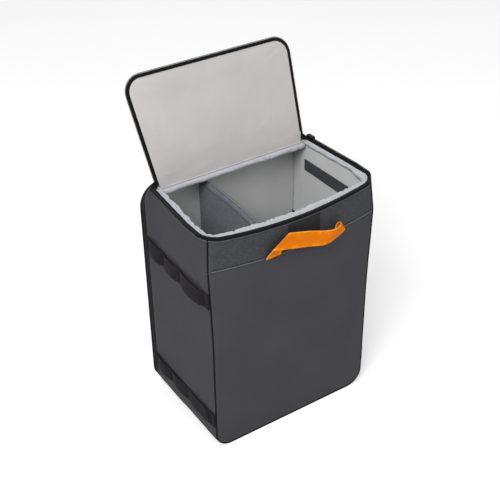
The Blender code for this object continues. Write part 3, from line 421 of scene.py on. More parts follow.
class NodeDesk:
    """Short ways to add shader nodes to a material or a world."""

    def __init__(self, owner: bpy.types.Material | bpy.types.World) -> None:
        """Take over the owner's node tree."""
        owner.use_nodes = True
        self.tree = owner.node_tree
        self.shader = self.tree.nodes.get("Principled BSDF")

    def add(self, kind: str, **facts: object) -> bpy.types.Node:
        """A new node of a kind, with its settings."""
        node = self.tree.nodes.new(kind)
        for name, value in facts.items():
            setattr(node, name, value)
        return node

    def feed(self, socket: bpy.types.NodeSocket, value: object) -> None:
        """Link a socket to another, or set its value."""
        if isinstance(value, bpy.types.NodeSocket):
            self.tree.links.new(value, socket)
        else:
            socket.default_value = value

    def sum(self, operation: str, first: object, second: object = 0.0) -> bpy.types.NodeSocket:
        """One step of arithmetic."""
        node = self.add("ShaderNodeMath", operation=operation)
        self.feed(node.inputs[0], first)
        self.feed(node.inputs[1], second)
        return node.outputs[0]

    def blend(self, share: object, first: object, second: object) -> bpy.types.NodeSocket:
        """A colour between two others."""
        node = self.add("ShaderNodeMix", data_type="RGBA", clamp_factor=True)
        self.feed(node.inputs["Factor"], share)
        self.feed(node.inputs["A"], first)
        self.feed(node.inputs["B"], second)
        return node.outputs["Result"]

    def mottle(self, place: bpy.types.NodeSocket, size: float, detail: float = 2.0) -> bpy.types.NodeSocket:
        """Noise of about 0 to 1 with patches of a size."""
        node = self.add("ShaderNodeTexNoise")
        self.feed(node.inputs["Vector"], place)
        node.inputs["Scale"].default_value = 1 / size
        node.inputs["Detail"].default_value = detail
        return node.outputs["Fac"]

    def stretched(self, place: bpy.types.NodeSocket,
                  scale: tuple[float, float, float]) -> bpy.types.NodeSocket:
        """Coordinates scaled by three factors."""
        node = self.add("ShaderNodeMapping")
        self.feed(node.inputs["Vector"], place)
        node.inputs["Scale"].default_value = scale
        return node.outputs["Vector"]

    def window(self, value: object, low: float, high: float) -> bpy.types.NodeSocket:
        """A value brought from low..high to 0..1 and held there."""
        node = self.add("ShaderNodeMapRange", clamp=True)
        self.feed(node.inputs["Value"], value)
        node.inputs["From Min"].default_value = low
        node.inputs["From Max"].default_value = high
        return node.outputs["Result"]


def rgba(colour: Colour, share: float = 1.0) -> tuple[float, float, float, float]:
    """A colour times a share, with full alpha."""
    return (*(part * share for part in colour), 1.0)


@dataclass(frozen=True)
class Cloth:
    """A fabric finish, with its threads, flecks, tone, and edges lightened as abrasion and a painted
    highlight.
    """

    name: str
    slot: str
    colour: Colour
    fleck: Colour
    pitch: float = 0.8 * MM
    flecks: float = 0.25
    relief: float = 0.5
    roughness: float = 0.8
    sheen: float = 0.1
    # Weight of the lightening near edges: abrasion, and a painted highlight where it is large.
    edge_wear_and_highlight: float = 0.12
    face: Face = Face.WOVEN
    follows_cloth: bool = True
    shine: float = 0.08

    def threads(self, desk: NodeDesk, place: bpy.types.NodeSocket) -> bpy.types.NodeSocket:
        """Height of the threads: crossed sines for a weave, sines along one way for ribs, noise for a nap."""
        if self.face is Face.BRUSHED:
            return desk.mottle(place, self.pitch, 4.0)
        scale = FULL_TURN / 2 / self.pitch
        parts = desk.add("ShaderNodeSeparateXYZ")
        desk.feed(parts.inputs[0], place)
        across = desk.sum("SINE", desk.sum("MULTIPLY", parts.outputs[0], scale))
        share = 1.0 if self.face is Face.WOVEN else 0.35
        along = desk.sum("SINE", desk.sum("MULTIPLY", parts.outputs[1], scale * share))
        if not self.follows_cloth:
            third = desk.sum("SINE", desk.sum("MULTIPLY", parts.outputs[2], scale))
            along = desk.sum("ADD", along, third)
        woven = desk.sum("MULTIPLY", across, along)
        return desk.sum("ADD", desk.sum("MULTIPLY", woven, 0.4), 0.5)

    def made(self) -> bpy.types.Material:
        """The finish as a material."""
        material = bpy.data.materials.new(self.name)
        desk = NodeDesk(material)
        whole = desk.add("ShaderNodeTexCoord").outputs["Object"]
        place = whole
        if self.follows_cloth:
            place = desk.add("ShaderNodeUVMap", uv_map=CLOTH_MAP).outputs["UV"]
        height = self.threads(desk, place)
        streaks = desk.stretched(place, (1.0, 0.22, 1.0))
        slub = desk.mottle(streaks, self.pitch * 2.2, 3.0)
        counter = desk.mottle(desk.stretched(place, (0.22, 1.0, 1.0)), self.pitch * 2.2, 3.0)
        speckle = desk.window(desk.sum("MAXIMUM", slub, counter), 0.5, 0.78)
        tone = desk.window(desk.mottle(whole, 90 * MM, 3.0), 0.3, 0.7)
        ground = desk.blend(tone, rgba(self.colour, 0.93), rgba(self.colour, 1.07))
        flecked = desk.blend(desk.sum("MULTIPLY", speckle, self.flecks), ground, rgba(self.fleck))
        # Painted shade: the hollows between the threads are darkened to 0.72 of the colour.
        painted_valley_shade = desk.window(height, 0.0, 0.6)
        shaded = desk.blend(painted_valley_shade, rgba(self.colour, 0.72), flecked)
        # Painted highlight and abrasion: near the cloth's edges the colour is lightened in patches towards
        # 1.25 times the fleck, by the finish's edge weight.
        rubbed = desk.add("ShaderNodeAttribute", attribute_name=EDGE_WEAR_AND_HIGHLIGHT_MAP).outputs["Fac"]
        patchy = desk.window(desk.mottle(whole, 9 * MM, 4.0), 0.42, 0.75)
        edge_wear_and_highlight_share = desk.sum("MULTIPLY", desk.sum("MULTIPLY", rubbed, patchy), self.edge_wear_and_highlight)
        desk.feed(desk.shader.inputs["Base Color"], desk.blend(edge_wear_and_highlight_share, shaded, rgba(self.fleck, 1.25)))
        gloss = desk.sum("ADD", desk.sum("MULTIPLY", slub, 0.12), self.roughness - 0.06)
        desk.feed(desk.shader.inputs["Roughness"], gloss)
        bump = desk.add("ShaderNodeBump")
        bump.inputs["Strength"].default_value = self.relief
        bump.inputs["Distance"].default_value = self.pitch * 0.35
        desk.feed(bump.inputs["Height"], desk.sum("ADD", height, desk.sum("MULTIPLY", slub, 0.5)))
        desk.feed(desk.shader.inputs["Normal"], bump.outputs[0])
        desk.shader.inputs["Sheen Weight"].default_value = self.sheen
        desk.shader.inputs["Sheen Roughness"].default_value = 0.5
        desk.shader.inputs["Specular IOR Level"].default_value = self.shine
        return material


@dataclass(frozen=True)
class Moulded:
    """A moulded nylon or enamelled finish with fine grain and rubbed spots."""

    name: str
    slot: str
    colour: Colour
    rubbed: Colour
    grain: float = 0.5 * MM
    roughness: float = 0.42
    metallic: float = 0.0

    def made(self) -> bpy.types.Material:
        """The finish as a material."""
        material = bpy.data.materials.new(self.name)
        desk = NodeDesk(material)
        place = desk.add("ShaderNodeTexCoord").outputs["Object"]
        fine = desk.mottle(place, self.grain, 4.0)
        spots = desk.window(desk.mottle(place, 4 * MM, 5.0), 0.55, 0.8)
        tinted = desk.blend(spots, rgba(self.colour), rgba(self.rubbed))
        desk.feed(desk.shader.inputs["Base Color"], desk.blend(fine, tinted, rgba(self.colour, 1.15)))
        desk.feed(desk.shader.inputs["Roughness"],
                  desk.sum("ADD", desk.sum("MULTIPLY", fine, 0.15), self.roughness))
        desk.shader.inputs["Metallic"].default_value = self.metallic
        desk.shader.inputs["Specular IOR Level"].default_value = 0.2
        bump = desk.add("ShaderNodeBump")
        bump.inputs["Strength"].default_value = 0.2
        bump.inputs["Distance"].default_value = self.grain * 0.2
        desk.feed(bump.inputs["Height"], fine)
        desk.feed(desk.shader.inputs["Normal"], bump.outputs[0])
        return material


@dataclass(frozen=True)
class Swatches:
    """Every finish of the insert."""

    body: Cloth = Cloth("charcoal_shell", "body", (0.054, 0.053, 0.059), (0.084, 0.083, 0.091),
                        0.7 * MM, 0.25, 0.35, 0.78, 0.0)
    band: Cloth = Cloth("heather_band", "band", (0.050, 0.051, 0.056), (0.105, 0.107, 0.114),
                        0.9 * MM, 0.55, 0.5, 0.85, 0.0)
    # A lighter grey than the band: a painted highlight on the folds along the band's seam and under the rim.
    fold: Cloth = Cloth("fold_painted_highlight", "band", (0.105, 0.106, 0.113), (0.160, 0.162, 0.170),
                        0.9 * MM, 0.4, 0.4, 0.8, 0.0)
    trim: Cloth = Cloth("black_binding", "trim", (0.0062, 0.0062, 0.0070), (0.020, 0.020, 0.022),
                        0.7 * MM, 0.25, 0.6, 0.75, 0.0)
    strap: Cloth = Cloth("plum_webbing", "webbing", (0.0120, 0.0105, 0.0135), (0.029, 0.026, 0.031),
                         1.1 * MM, 0.3, 0.9, 0.75, 0.0, 0.2, Face.RIBBED)
    lining: Cloth = Cloth("grey_lining", "lining", (0.60, 0.60, 0.60), (0.68, 0.68, 0.68),
                          0.6 * MM, 0.3, 0.45, 0.9, 0.1, 0.05, Face.BRUSHED)
    lip: Cloth = Cloth("pale_lip", "lip", (0.45, 0.46, 0.49), (0.60, 0.61, 0.645),
                       0.6 * MM, 0.35, 0.5, 0.85, 0.1, 0.05, Face.BRUSHED)
    lid_face: Cloth = Cloth("warm_lid_face", "lid_lining", (0.47, 0.448, 0.440), (0.535, 0.515, 0.505),
                            0.5 * MM, 0.25, 0.3, 0.9, 0.1, 0.0, Face.BRUSHED, False)
    divider: Cloth = Cloth("heather_divider", "divider", (0.112, 0.119, 0.138), (0.27, 0.285, 0.31),
                           0.7 * MM, 0.6, 0.7, 0.92, 0.15, 0.0, Face.BRUSHED, False)
    loop: Cloth = Cloth("loop_strip", "divider", (0.042, 0.045, 0.054), (0.11, 0.12, 0.135),
                        1.5 * MM, 0.5, 0.9, 0.95, 0.1, 0.05, Face.RIBBED)
    # The handle's edge weight of 0.8 mostly paints a highlight along its edges.
    handle: Cloth = Cloth("orange_webbing", "handle", (0.69, 0.165, 0.0), (0.80, 0.25, 0.003),
                          1.0 * MM, 0.22, 0.7, 0.68, 0.0, 0.8, Face.RIBBED)
    # Lighter and yellower than the handle: a painted highlight along the webbing's rounded edges.
    selvedge: Cloth = Cloth("orange_selvedge", "handle", (0.92, 0.33, 0.02), (0.98, 0.45, 0.08),
                            0.8 * MM, 0.3, 0.4, 0.7, 0.0, 0.0, Face.BRUSHED, False)
    label: Cloth = Cloth("dark_patch", "label", (0.023, 0.023, 0.024), (0.040, 0.040, 0.041),
                         0.5 * MM, 0.2, 0.2, 0.55, 0.0, 0.3)
    thread: Cloth = Cloth("dark_thread", "trim", (0.020, 0.020, 0.022), (0.050, 0.050, 0.052),
                          0.3 * MM, 0.3, 0.3, 0.7, 0.0, 0.0, Face.BRUSHED, False)
    pale_thread: Cloth = Cloth("slate_thread", "divider", (0.050, 0.055, 0.062), (0.12, 0.13, 0.14),
                               0.3 * MM, 0.3, 0.3, 0.7, 0.0, 0.0, Face.BRUSHED, False)
    coil: Moulded = Moulded("nylon_coil", "coil", (0.018, 0.018, 0.020), (0.034, 0.034, 0.037),
                            roughness=0.5)
    metal: Moulded = Moulded("black_enamel", "metal", (0.008, 0.008, 0.009), (0.06, 0.06, 0.063),
                             0.4 * MM, 0.4, 0.3)


@dataclass
class Wardrobe:
    """Makes each finish once, dresses pieces in them and hides the CAD nodes that each piece stands for."""

    swatches: Swatches = field(default_factory=Swatches)
    made: dict[str, bpy.types.Material] = field(default_factory=dict)

    def material(self, finish: Cloth | Moulded) -> bpy.types.Material:
        """The finish's material, made at its first use."""
        if finish.name not in self.made:
            self.made[finish.name] = finish.made()
        return self.made[finish.name]

    def dress(self, piece: bpy.types.Object, finish: Cloth | Moulded, nodes: tuple[str, ...] = (),
              fill: float | None = None) -> bpy.types.Object:
        """Give a piece its finish and hide the nodes it stands for.

        Args:
            piece: the mesh object.
            finish: its cloth or moulded finish.
            nodes: the CAD nodes that it replaces.
            fill: how tight it is stuffed, for a padded piece; not used.

        Returns:
            The piece.
        """
        piece.data.materials.clear()
        piece.data.materials.append(self.material(finish))
        if nodes:
            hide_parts(*nodes)
        LOG.info("%s: %d faces, stands for %s", piece.name, len(piece.data.polygons),
                 ", ".join(nodes) or "no node")
        return piece


# Shape of the standing bag


@dataclass(frozen=True)
class Standing:
    """Sizes of the box and the way it bows when it stands."""

    half_width: float = 0.150
    half_depth: float = 0.105
    height: float = 0.414
    base_corner: float = 0.030
    band_seam: float = 0.357
    base_seam: float = 0.064
    seam_corner: float = 0.006
    rim_corner: float = 0.026
    hinge_y: float = 0.069
    hinge_room: float = 0.0025
    axis_z: float = 0.4171
    rear_drop: float = 0.015
    hinge_shoulder: float = 0.012
    rear_shoulder: float = 0.040
    shell: float = 0.0012
    pad_start: float = 0.0017
    pad_end: float = 0.0093
    shell_rear: float = 0.0885
    pad_rear: float = 0.0950
    flare: tuple[float, ...] = (0.005, 0.006, -0.0025, 0.0)
    flare_widest_y: float = -0.050
    flare_start: float = 0.200
    belly: float = 0.005
    belly_span: tuple[float, float] = (0.030, 0.360)
    flare_x: tuple[float, float] = (0.068, 0.125)
    bow: float = 0.012
    bow_full: float = 0.330
    bow_y: tuple[float, float] = (-0.020, -0.085)
    dip: float = 0.009
    dip_power: float = 2.5
    mitre: float = 0.15 * MM

    def settle(self, points: np.ndarray) -> np.ndarray:
        """Where pattern points lie on the standing bag: flared and bellied in X, bowed in Y, dipped in Z."""
        x, y, z = points[..., 0], points[..., 1], points[..., 2]
        share = ease((z - self.flare_start) / (self.height - self.flare_start))
        stations = (-self.half_depth, self.flare_widest_y, self.hinge_y, self.shell_rear)
        flare = np.interp(y, stations, self.flare) * share
        low, high = self.belly_span
        lobe = np.sin(math.pi * np.clip((z - low) / (high - low), 0, 1)) ** 2
        belly = self.belly * lobe * np.clip(1 - (y / self.shell_rear) ** 2, 0, 1)
        start, full = self.flare_x
        outward = np.clip((np.abs(x) - start) / (full - start), 0, 1)
        across = np.clip(1 - (x / self.half_width) ** 2, 0, 1)
        near_front = ease((self.bow_y[0] - y) / (self.bow_y[0] - self.bow_y[1]))
        bow = self.bow * across * near_front * ease(z / self.bow_full)
        dip = self.dip * across * near_front * np.clip(z / self.height, 0, None) ** self.dip_power
        return np.stack([x + np.sign(x) * (flare + belly) * outward, y - bow, z - dip], axis=-1)

    def plan_corner(self, z: np.ndarray) -> np.ndarray:
        """Radius of the front corners, seen from above."""
        share = np.clip((z - self.band_seam) / (self.height - self.band_seam), 0, 1)
        return self.seam_corner + (self.rim_corner - self.seam_corner) * share

    def rear_top(self, y: np.ndarray) -> np.ndarray:
        """Height of the sloping strip behind the hinge."""
        return self.height - self.rear_drop * (y - self.hinge_y) / (self.half_depth - self.hinge_y)

    def shoulder(self, y: np.ndarray) -> np.ndarray:
        """Radius of the upper corners behind the hinge."""
        start = self.hinge_y + self.hinge_room
        growth = self.rear_shoulder - self.hinge_shoulder
        return self.hinge_shoulder + growth * (y - start) / (self.half_depth - start)

    @staticmethod
    def inner_radius(radius: np.ndarray, depth: float) -> np.ndarray:
        """Radius of a layer at a depth under a rounded corner."""
        return np.maximum(radius - depth, 0.5 * MM)

    def rows(self, low: float, top: float, fine: int) -> np.ndarray:
        """Heights of a wall's rows, with one on the band's seam."""
        upper = np.linspace(self.band_seam, self.height - top, fine // 4 + 1)[1:]
        return np.concatenate([np.linspace(low, self.band_seam, fine), upper])

    def side(self, side: Side, depth: float, room: float, top: float, rear: float,
             fine: int = 72) -> np.ndarray:
        """Pattern of a side wall: rows go up and columns go from the rear round the front corner.

        Behind the hinge a column is straight and then turns with the shoulder's radius; before it the wall is
        flat, and the last columns turn by up to an eighth of a circle towards the front wall.

        Args:
            side: left or right.
            depth: how far under the outer face it lies.
            room: cloth left out at the corner.
            top: how far under the rim it ends.
            rear: its rear end in Y.
            fine: number of rows below the band's seam.

        Returns:
            The grid of places.
        """
        low = self.base_seam + 0.3 * MM
        z = self.rows(low, top, fine)[:, None]
        upper = len(z) - fine
        rear_y = np.linspace(rear, self.hinge_y + self.hinge_room, 10)[None]
        radius = self.inner_radius(self.shoulder(rear_y), depth)
        centre = self.rear_top(rear_y) - depth - radius
        straight = low + (centre - low) * np.linspace(0, 1, fine)[:, None]
        angle = np.linspace(0, 1, upper + 1)[1:, None] * (DIAGONAL - self.mitre / radius)
        rear_z = np.concatenate([straight, centre + radius * np.sin(angle)])
        rear_x = self.half_width - depth - radius * np.concatenate([0 * straight, 1 - np.cos(angle)])
        radius = self.inner_radius(self.plan_corner(z), depth)
        arc_y = -self.half_depth + depth + radius
        share = np.linspace(0, 1, 60)[None]
        widest = self.flare_widest_y
        flat_y = np.concatenate([self.hinge_y + (widest - self.hinge_y) * share + 0 * z,
                                 widest + (arc_y - widest) * share[:, 2::2]], axis=1)
        turn = (DIAGONAL - room / radius) * np.linspace(0, 1, 7)[None, 1:]
        x = np.concatenate([rear_x, np.full_like(flat_y, self.half_width - depth),
                            self.half_width - depth - radius * (1 - np.cos(turn))], axis=1)
        y = np.concatenate([rear_y + 0 * z, flat_y, arc_y - radius * np.sin(turn)], axis=1)
        z = np.concatenate([rear_z, z + 0 * flat_y, z + 0 * turn], axis=1)
        return np.stack([x * side.value, y, z], axis=-1)

    def front(self, depth: float, room: float, rows: np.ndarray, round_base: bool,
              fine: int = 56) -> np.ndarray:
        """Pattern of the front wall: rows bend round the base's corners if asked, and the rim folds back.

        The wall's Y is a quarter circle of the seam's radius, of the distance from the nearest edge.

        Args:
            depth: how far under the outer face it lies.
            room: cloth left out at the corners.
            rows: heights.
            round_base: whether the lowest row follows the base's corners.
            fine: number of columns between the corners.

        Returns:
            The grid of places.
        """
        base = self.inner_radius(self.seam_corner, depth)
        reach = self.half_width - depth - base * (1 - math.cos(DIAGONAL + room / base))
        flat = self.half_width - self.base_corner
        arc = flat + (reach - flat) * np.sin(np.linspace(0, QUARTER, 12)[1:])
        x = np.concatenate([-arc[::-1], np.linspace(-flat, flat, fine), arc])
        floor = np.full_like(x, rows[0])
        if round_base:
            bend = np.clip(np.abs(x) - flat, 0, None)
            floor = self.base_corner - np.sqrt(np.clip((reach - flat) ** 2 - bend ** 2, 0, None))
        share = (rows - rows[0]) / (rows[-1] - rows[0])
        z = floor + (rows[-1] - floor) * share[:, None]
        radius = self.inner_radius(self.plan_corner(z), depth)
        x = x / reach * (self.half_width - depth - radius + radius * np.cos(DIAGONAL + room / radius))
        beside = self.half_width - np.abs(x)
        in_corner = (z < self.base_corner) & (beside < self.base_corner)
        corner = self.base_corner - np.hypot(self.base_corner - beside, self.base_corner - z)
        from_edge = np.where(in_corner, corner, np.minimum(beside, z))
        short = np.clip(depth + radius - from_edge, 0, radius)
        y = -self.half_depth + depth + radius - np.sqrt(radius ** 2 - short ** 2)
        return np.stack([x, y, z], axis=-1)

    def base_line(self, inset: np.ndarray, top: float, fine: int = 14) -> tuple[np.ndarray, np.ndarray]:
        """X and Z round the base's U at an inset, from the left seam under the floor to the right seam."""
        radius = self.base_corner - inset
        angle = np.linspace(0, QUARTER, fine)[:, None]
        flat = self.half_width - self.base_corner
        start = np.linspace(top, self.base_corner, 6)[:-1, None]
        left_x = np.concatenate([inset - self.half_width + 0 * start, -flat - radius * np.cos(angle)])
        left_z = np.concatenate([start + 0 * inset, self.base_corner - radius * np.sin(angle)])
        floor_x = np.linspace(-flat, flat, 40)[1:-1, None] + 0 * inset
        x = np.concatenate([left_x, floor_x, -left_x[::-1]])
        z = np.concatenate([left_z, inset + 0 * floor_x, left_z[::-1]])
        return x, z

    def base(self, depth: float, room: float, rear: float) -> np.ndarray:
        """Pattern of the base: rows go round its U and columns from the rear to the front."""
        radius = self.inner_radius(self.seam_corner, depth)
        arc_y = -self.half_depth + depth + radius
        angle = np.linspace(0, DIAGONAL - room / radius, 6)[1:]
        insets = np.concatenate([np.full(24, depth), depth + radius * (1 - np.cos(angle))])[None]
        ys = np.concatenate([np.linspace(rear, arc_y, 24), arc_y - radius * np.sin(angle)])
        x, z = self.base_line(insets, self.base_seam)
        return placed(x, ys, z)

    def rear_strip(self, depth: float, rear: float) -> np.ndarray:
        """Pattern of the sloping strip behind the hinge, from the right shoulder to the left one."""
        y = np.linspace(self.hinge_y + self.hinge_room, rear, 10)[None]
        radius = self.inner_radius(self.shoulder(y), depth)
        flat = self.half_width - depth - radius
        room = self.mitre / radius
        angle = DIAGONAL + room + (DIAGONAL - room) * np.linspace(0, 1, 10)[:, None]
        side_x = flat + radius * np.cos(angle)
        side_z = self.rear_top(y) - depth - radius + radius * np.sin(angle)
        middle = flat * np.linspace(1, -1, 30)[1:-1, None]
        x = np.concatenate([side_x, middle, -side_x[::-1]])
        z = np.concatenate([side_z, self.rear_top(y) - depth + 0 * middle, side_z[::-1]])
        return placed(x, y, z)

    def rim(self, outline: np.ndarray, end_y: float, fine: int = 60) -> np.ndarray:
        """Rings of a profile, given as depth and rise, round the three open sides of the rim.

        Args:
            outline: profile corners.
            end_y: where the rings end, near the hinge.
            fine: rings along the front.

        Returns:
            Settled rings as path by profile by three.
        """
        depth = outline[None, :, 0]
        z = self.height + outline[None, :, 1]
        radius = self.plan_corner(np.minimum(z, self.height)) - depth
        flat = self.half_width - depth - radius
        arc_y = -self.half_depth + depth + radius
        share = np.linspace(0, 1, 28)[:, None]
        widest = self.flare_widest_y
        side_y = np.concatenate([end_y + (widest - end_y) * share + 0 * arc_y,
                                 widest + (arc_y - widest) * share[2::2]])
        side_x = depth - self.half_width + 0 * side_y
        angle = np.linspace(0, QUARTER, 14)[1:, None]
        x = np.concatenate([side_x, -flat - radius * np.cos(angle)])
        y = np.concatenate([side_y, arc_y - radius * np.sin(angle)])
        middle = flat * np.linspace(-1, 1, fine)[1:-1, None]
        x = np.concatenate([x, middle, -x[::-1]])
        y = np.concatenate([y, arc_y - radius + 0 * middle, y[::-1]])
        return self.settle(placed(x, y, z))

    def rear_loop(self, outline: np.ndarray, fine: int = 14) -> np.ndarray:
        """Rings of a profile, given as inset and Y, round the rear outline, from the right shoulder on."""
        inset, y = outline[None, :, 0], outline[None, :, 1]
        top, upper = self.rear_top(y), self.shoulder(y)
        turn = np.linspace(0, QUARTER, fine)[:, None]
        high, low = upper - inset, self.base_corner - inset
        right_x = self.half_width - upper + high * np.cos(turn)
        right_z = top - upper + high * np.sin(turn)
        low_x = -(self.half_width - self.base_corner) - low * np.cos(turn)
        low_z = self.base_corner - low * np.sin(turn)
        share = np.linspace(0, 1, 26)[1:-1, None]
        across_top = right_x[-1:] * (1 - 2 * share)
        down = right_z[:1] + (low_z[:1] - right_z[:1]) * share
        x = np.concatenate([right_x, across_top, -right_x[::-1], low_x[:1] + 0 * down, low_x,
                            low_x[-1:] * (1 - 2 * share), -low_x[::-1], -low_x[:1] + 0 * down])
        z = np.concatenate([right_z, right_z[-1:] + 0 * across_top, right_z[::-1], down, low_z,
                            low_z[-1:] + 0 * share, low_z[::-1], down[::-1]])
        return placed(x, y, z)


# Sub-assemblies


@dataclass
class Assembly:
    """Pieces that belong together, with what they share: shape, wardrobe and the body they ride on."""

    bag: Standing
    wardrobe: Wardrobe
    body: str = "box"

    @property
    def looks(self) -> Swatches:
        """Every finish."""
        return self.wardrobe.swatches

    def sew(self, name: str, skin: Skin, finish: Cloth | Moulded, nodes: tuple[str, ...] = (),
            fill: float | None = None, body: str | None = None) -> bpy.types.Object:
        """Make a piece of a skin, let it ride on a body and dress it.

        Args:
            name: the piece's name.
            skin: its places and faces.
            finish: its cloth or moulded finish.
            nodes: the CAD nodes that it replaces.
            fill: how tight it is stuffed, for a padded piece.
            body: the CAD body that carries it, if not the assembly's own.

        Returns:
            The piece.
        """
        piece = mesh_of(name, skin)
        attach(piece, body or self.body)
        return self.wardrobe.dress(piece, finish, nodes, fill)

    def settled(self, outer: np.ndarray, inner: np.ndarray) -> Skin:
        """The closed sheet between two pattern grids, settled with the bag."""
        return closed_skin(self.bag.settle(outer), self.bag.settle(inner))


@dataclass
class Walls(Assembly):
    """The five fixed walls: shells outside, padding with its lining inside."""

    seam_room: float = 0.9 * MM
    mitre: float = 0.15 * MM
    tuck: float = 0.7 * MM
    tuck_reach: float = 3.5 * MM
    swell: float = 0.5 * MM
    handle_feet: tuple[float, float] = (-47 * MM, 85 * MM)
    feet_height: float = 0.356
    rim_creases: tuple[tuple[float, ...], ...] = ((0.030, -0.42, 8 * MM, 1.3 * MM),
                                                  (-0.052, -0.20, 8 * MM, 0.9 * MM))
    ridge_line: float = 0.3879
    ridge_span: tuple[float, float] = (0.316, 0.411)

    def shell(self, name: str, pattern: Callable[[float], np.ndarray], finish: Cloth, seed: int,
              extra: Callable[[np.ndarray], np.ndarray] | None = None) -> bpy.types.Object:
        """An outer shell: the settled pattern, tucked in at its seams and rippled along its normals.

        Args:
            name: the CAD node that it stands for.
            pattern: grid of the wall at a depth.
            finish: its cloth.
            seed: start of its ripples.
            extra: further relief, of the settled grid.

        Returns:
            The piece.
        """
        outer = self.bag.settle(pattern(0.0))
        inner = self.bag.settle(pattern(self.bag.shell))
        normal = normals_of(outer, inner)
        edge = edge_distance(outer)
        free = ease(edge / (12 * MM))
        relief = self.swell * 0.5 * free - self.tuck * hump(edge, self.tuck_reach)
        relief = relief + 0.35 * MM * free * ripple(outer, 75 * MM, seed)
        relief = relief + 0.10 * MM * free * ripple(outer, 22 * MM, seed + 1)
        if extra:
            relief = relief + extra(outer)
        move = normal * relief[..., None]
        faces = [grid + move for grid in (outer, inner)]
        for face in faces:
            face[..., 2] = np.maximum(face[..., 2], 0.1 * MM)
        return self.sew(f"{name}_cloth", closed_skin(*faces), finish, (name,), 0.9)

    def padding(self, place: str, pattern: Callable[[float], np.ndarray], seed: int) -> bpy.types.Object:
        """A wall's foam in its lining: the pattern's two depths, rounded and puckered near its seams."""
        outer = self.bag.settle(pattern(self.bag.pad_start))
        inner = self.bag.settle(pattern(self.bag.pad_end))
        normal = normals_of(inner, outer)
        edge = edge_distance(inner)
        pucker = 0.25 * MM * hump(edge, 14 * MM) * ripple(inner, 9 * MM, seed + 2)
        relief = -1.6 * MM * hump(edge, 3 * MM)
        relief = relief + 0.3 * MM * ease(edge / (25 * MM)) * ripple(inner, 60 * MM, seed) + pucker
        skin = closed_skin(inner + normal * relief[..., None], outer)
        nodes = (f"{place}_foam", f"{place}_lining")
        return self.sew(f"{place}_padding", skin, self.looks.lining, nodes, 0.8)

    def band_relief(self, outer: np.ndarray) -> np.ndarray:
        """The band's fold above its seam, and the pull of the handle's feet."""
        across, height = outer[..., 0], outer[..., 2]
        fold = 0.5 * MM * hump(height - self.bag.band_seam + 1 * MM, 5 * MM)
        for foot in self.handle_feet:
            fold = fold - 0.6 * MM * hump(np.hypot(across - foot, height - self.feet_height), 16 * MM)
        return fold

    def seam_fold(self) -> None:
        """The band's lower edge, turned under and pressed: a narrow raised fold along the seam, lighter as a
        painted highlight.
        """
        bag = self.bag
        turn = np.linspace(0, FULL_TURN, 9)[:-1]
        out, up = -0.45 * MM - 0.9 * MM * np.sin(turn), 0.8 * MM + 1.1 * MM * np.cos(turn)
        reach = bag.half_width - bag.plan_corner(bag.band_seam) - 0.5 * MM
        x = np.linspace(-reach, reach, 170)[:, None]
        rings = placed(x, out - bag.half_depth, bag.band_seam + up)
        rings[..., 2] += ripples(rings, (0.12, 15, 139))
        self.sew("front_band_fold", tube_skin(bag.settle(rings)), self.looks.fold)
        # Painted shadow: a row of dark stitches just above the fold stands for the shadow line there.
        line = placed(x[:, 0], -bag.half_depth - 0.4 * MM, bag.band_seam + 3.0 * MM)
        sewn = stitch_skin(bag.settle(line), np.array((0, -1.0, 0)), 2.6 * MM, 0.7 * MM, 0.6 * MM)
        self.sew("front_band_stitches", sewn, self.looks.thread)

    def rim_fold(self) -> None:
        """The shells' upper edge, pressed under the zip: a narrow fold round the three open sides, lighter as
        a painted highlight.
        """
        turn = np.linspace(0, FULL_TURN, 9)[:-1]
        depth, rise = -0.25 * MM - 0.8 * MM * np.sin(turn), -5.3 * MM + 1.0 * MM * np.cos(turn)
        rings = self.bag.rim(np.stack([depth, rise], axis=-1), 0.064, 120)
        rings[..., 2] += ripples(rings, (0.12, 13, 149))
        self.sew("rim_fold", tube_skin(rings), self.looks.fold)

    def side_relief(self, outer: np.ndarray) -> np.ndarray:
        """Creases below the rim, a ridge down to the upper strap's front end and a fold under the rim."""
        y, z = outer[..., 1], outer[..., 2]
        relief = 0.5 * MM * hump(z - 0.105 - 0.2 * (y + 0.02), 12 * MM) * hump(y + 0.02, 70 * MM)
        for start, slope, width, depth in self.rim_creases:
            line = y - start - slope * (self.bag.height - z)
            fold = depth * hump(line, width) * ease((z - 0.15) / 0.16)
            relief = relief - fold * ease((0.412 - z) / 0.03)
        across = (y - z + self.ridge_line) * math.sin(DIAGONAL)
        low, high = self.ridge_span
        fade = ease((z - low) / 0.016) * ease((high - z) / 0.018)
        ridge = 3.0 * MM * hump(across, 4.5 * MM) - 0.6 * MM * hump(across - 8 * MM, 6 * MM)
        relief = relief + ridge * fade
        pressed = 1.6 * MM * hump(z - 0.3965, 3.5 * MM) * ease((-0.045 - y) / 0.03)
        relief = relief + pressed * ease((y + 0.099) / 0.008)
        return np.maximum(relief, -0.8 * MM)

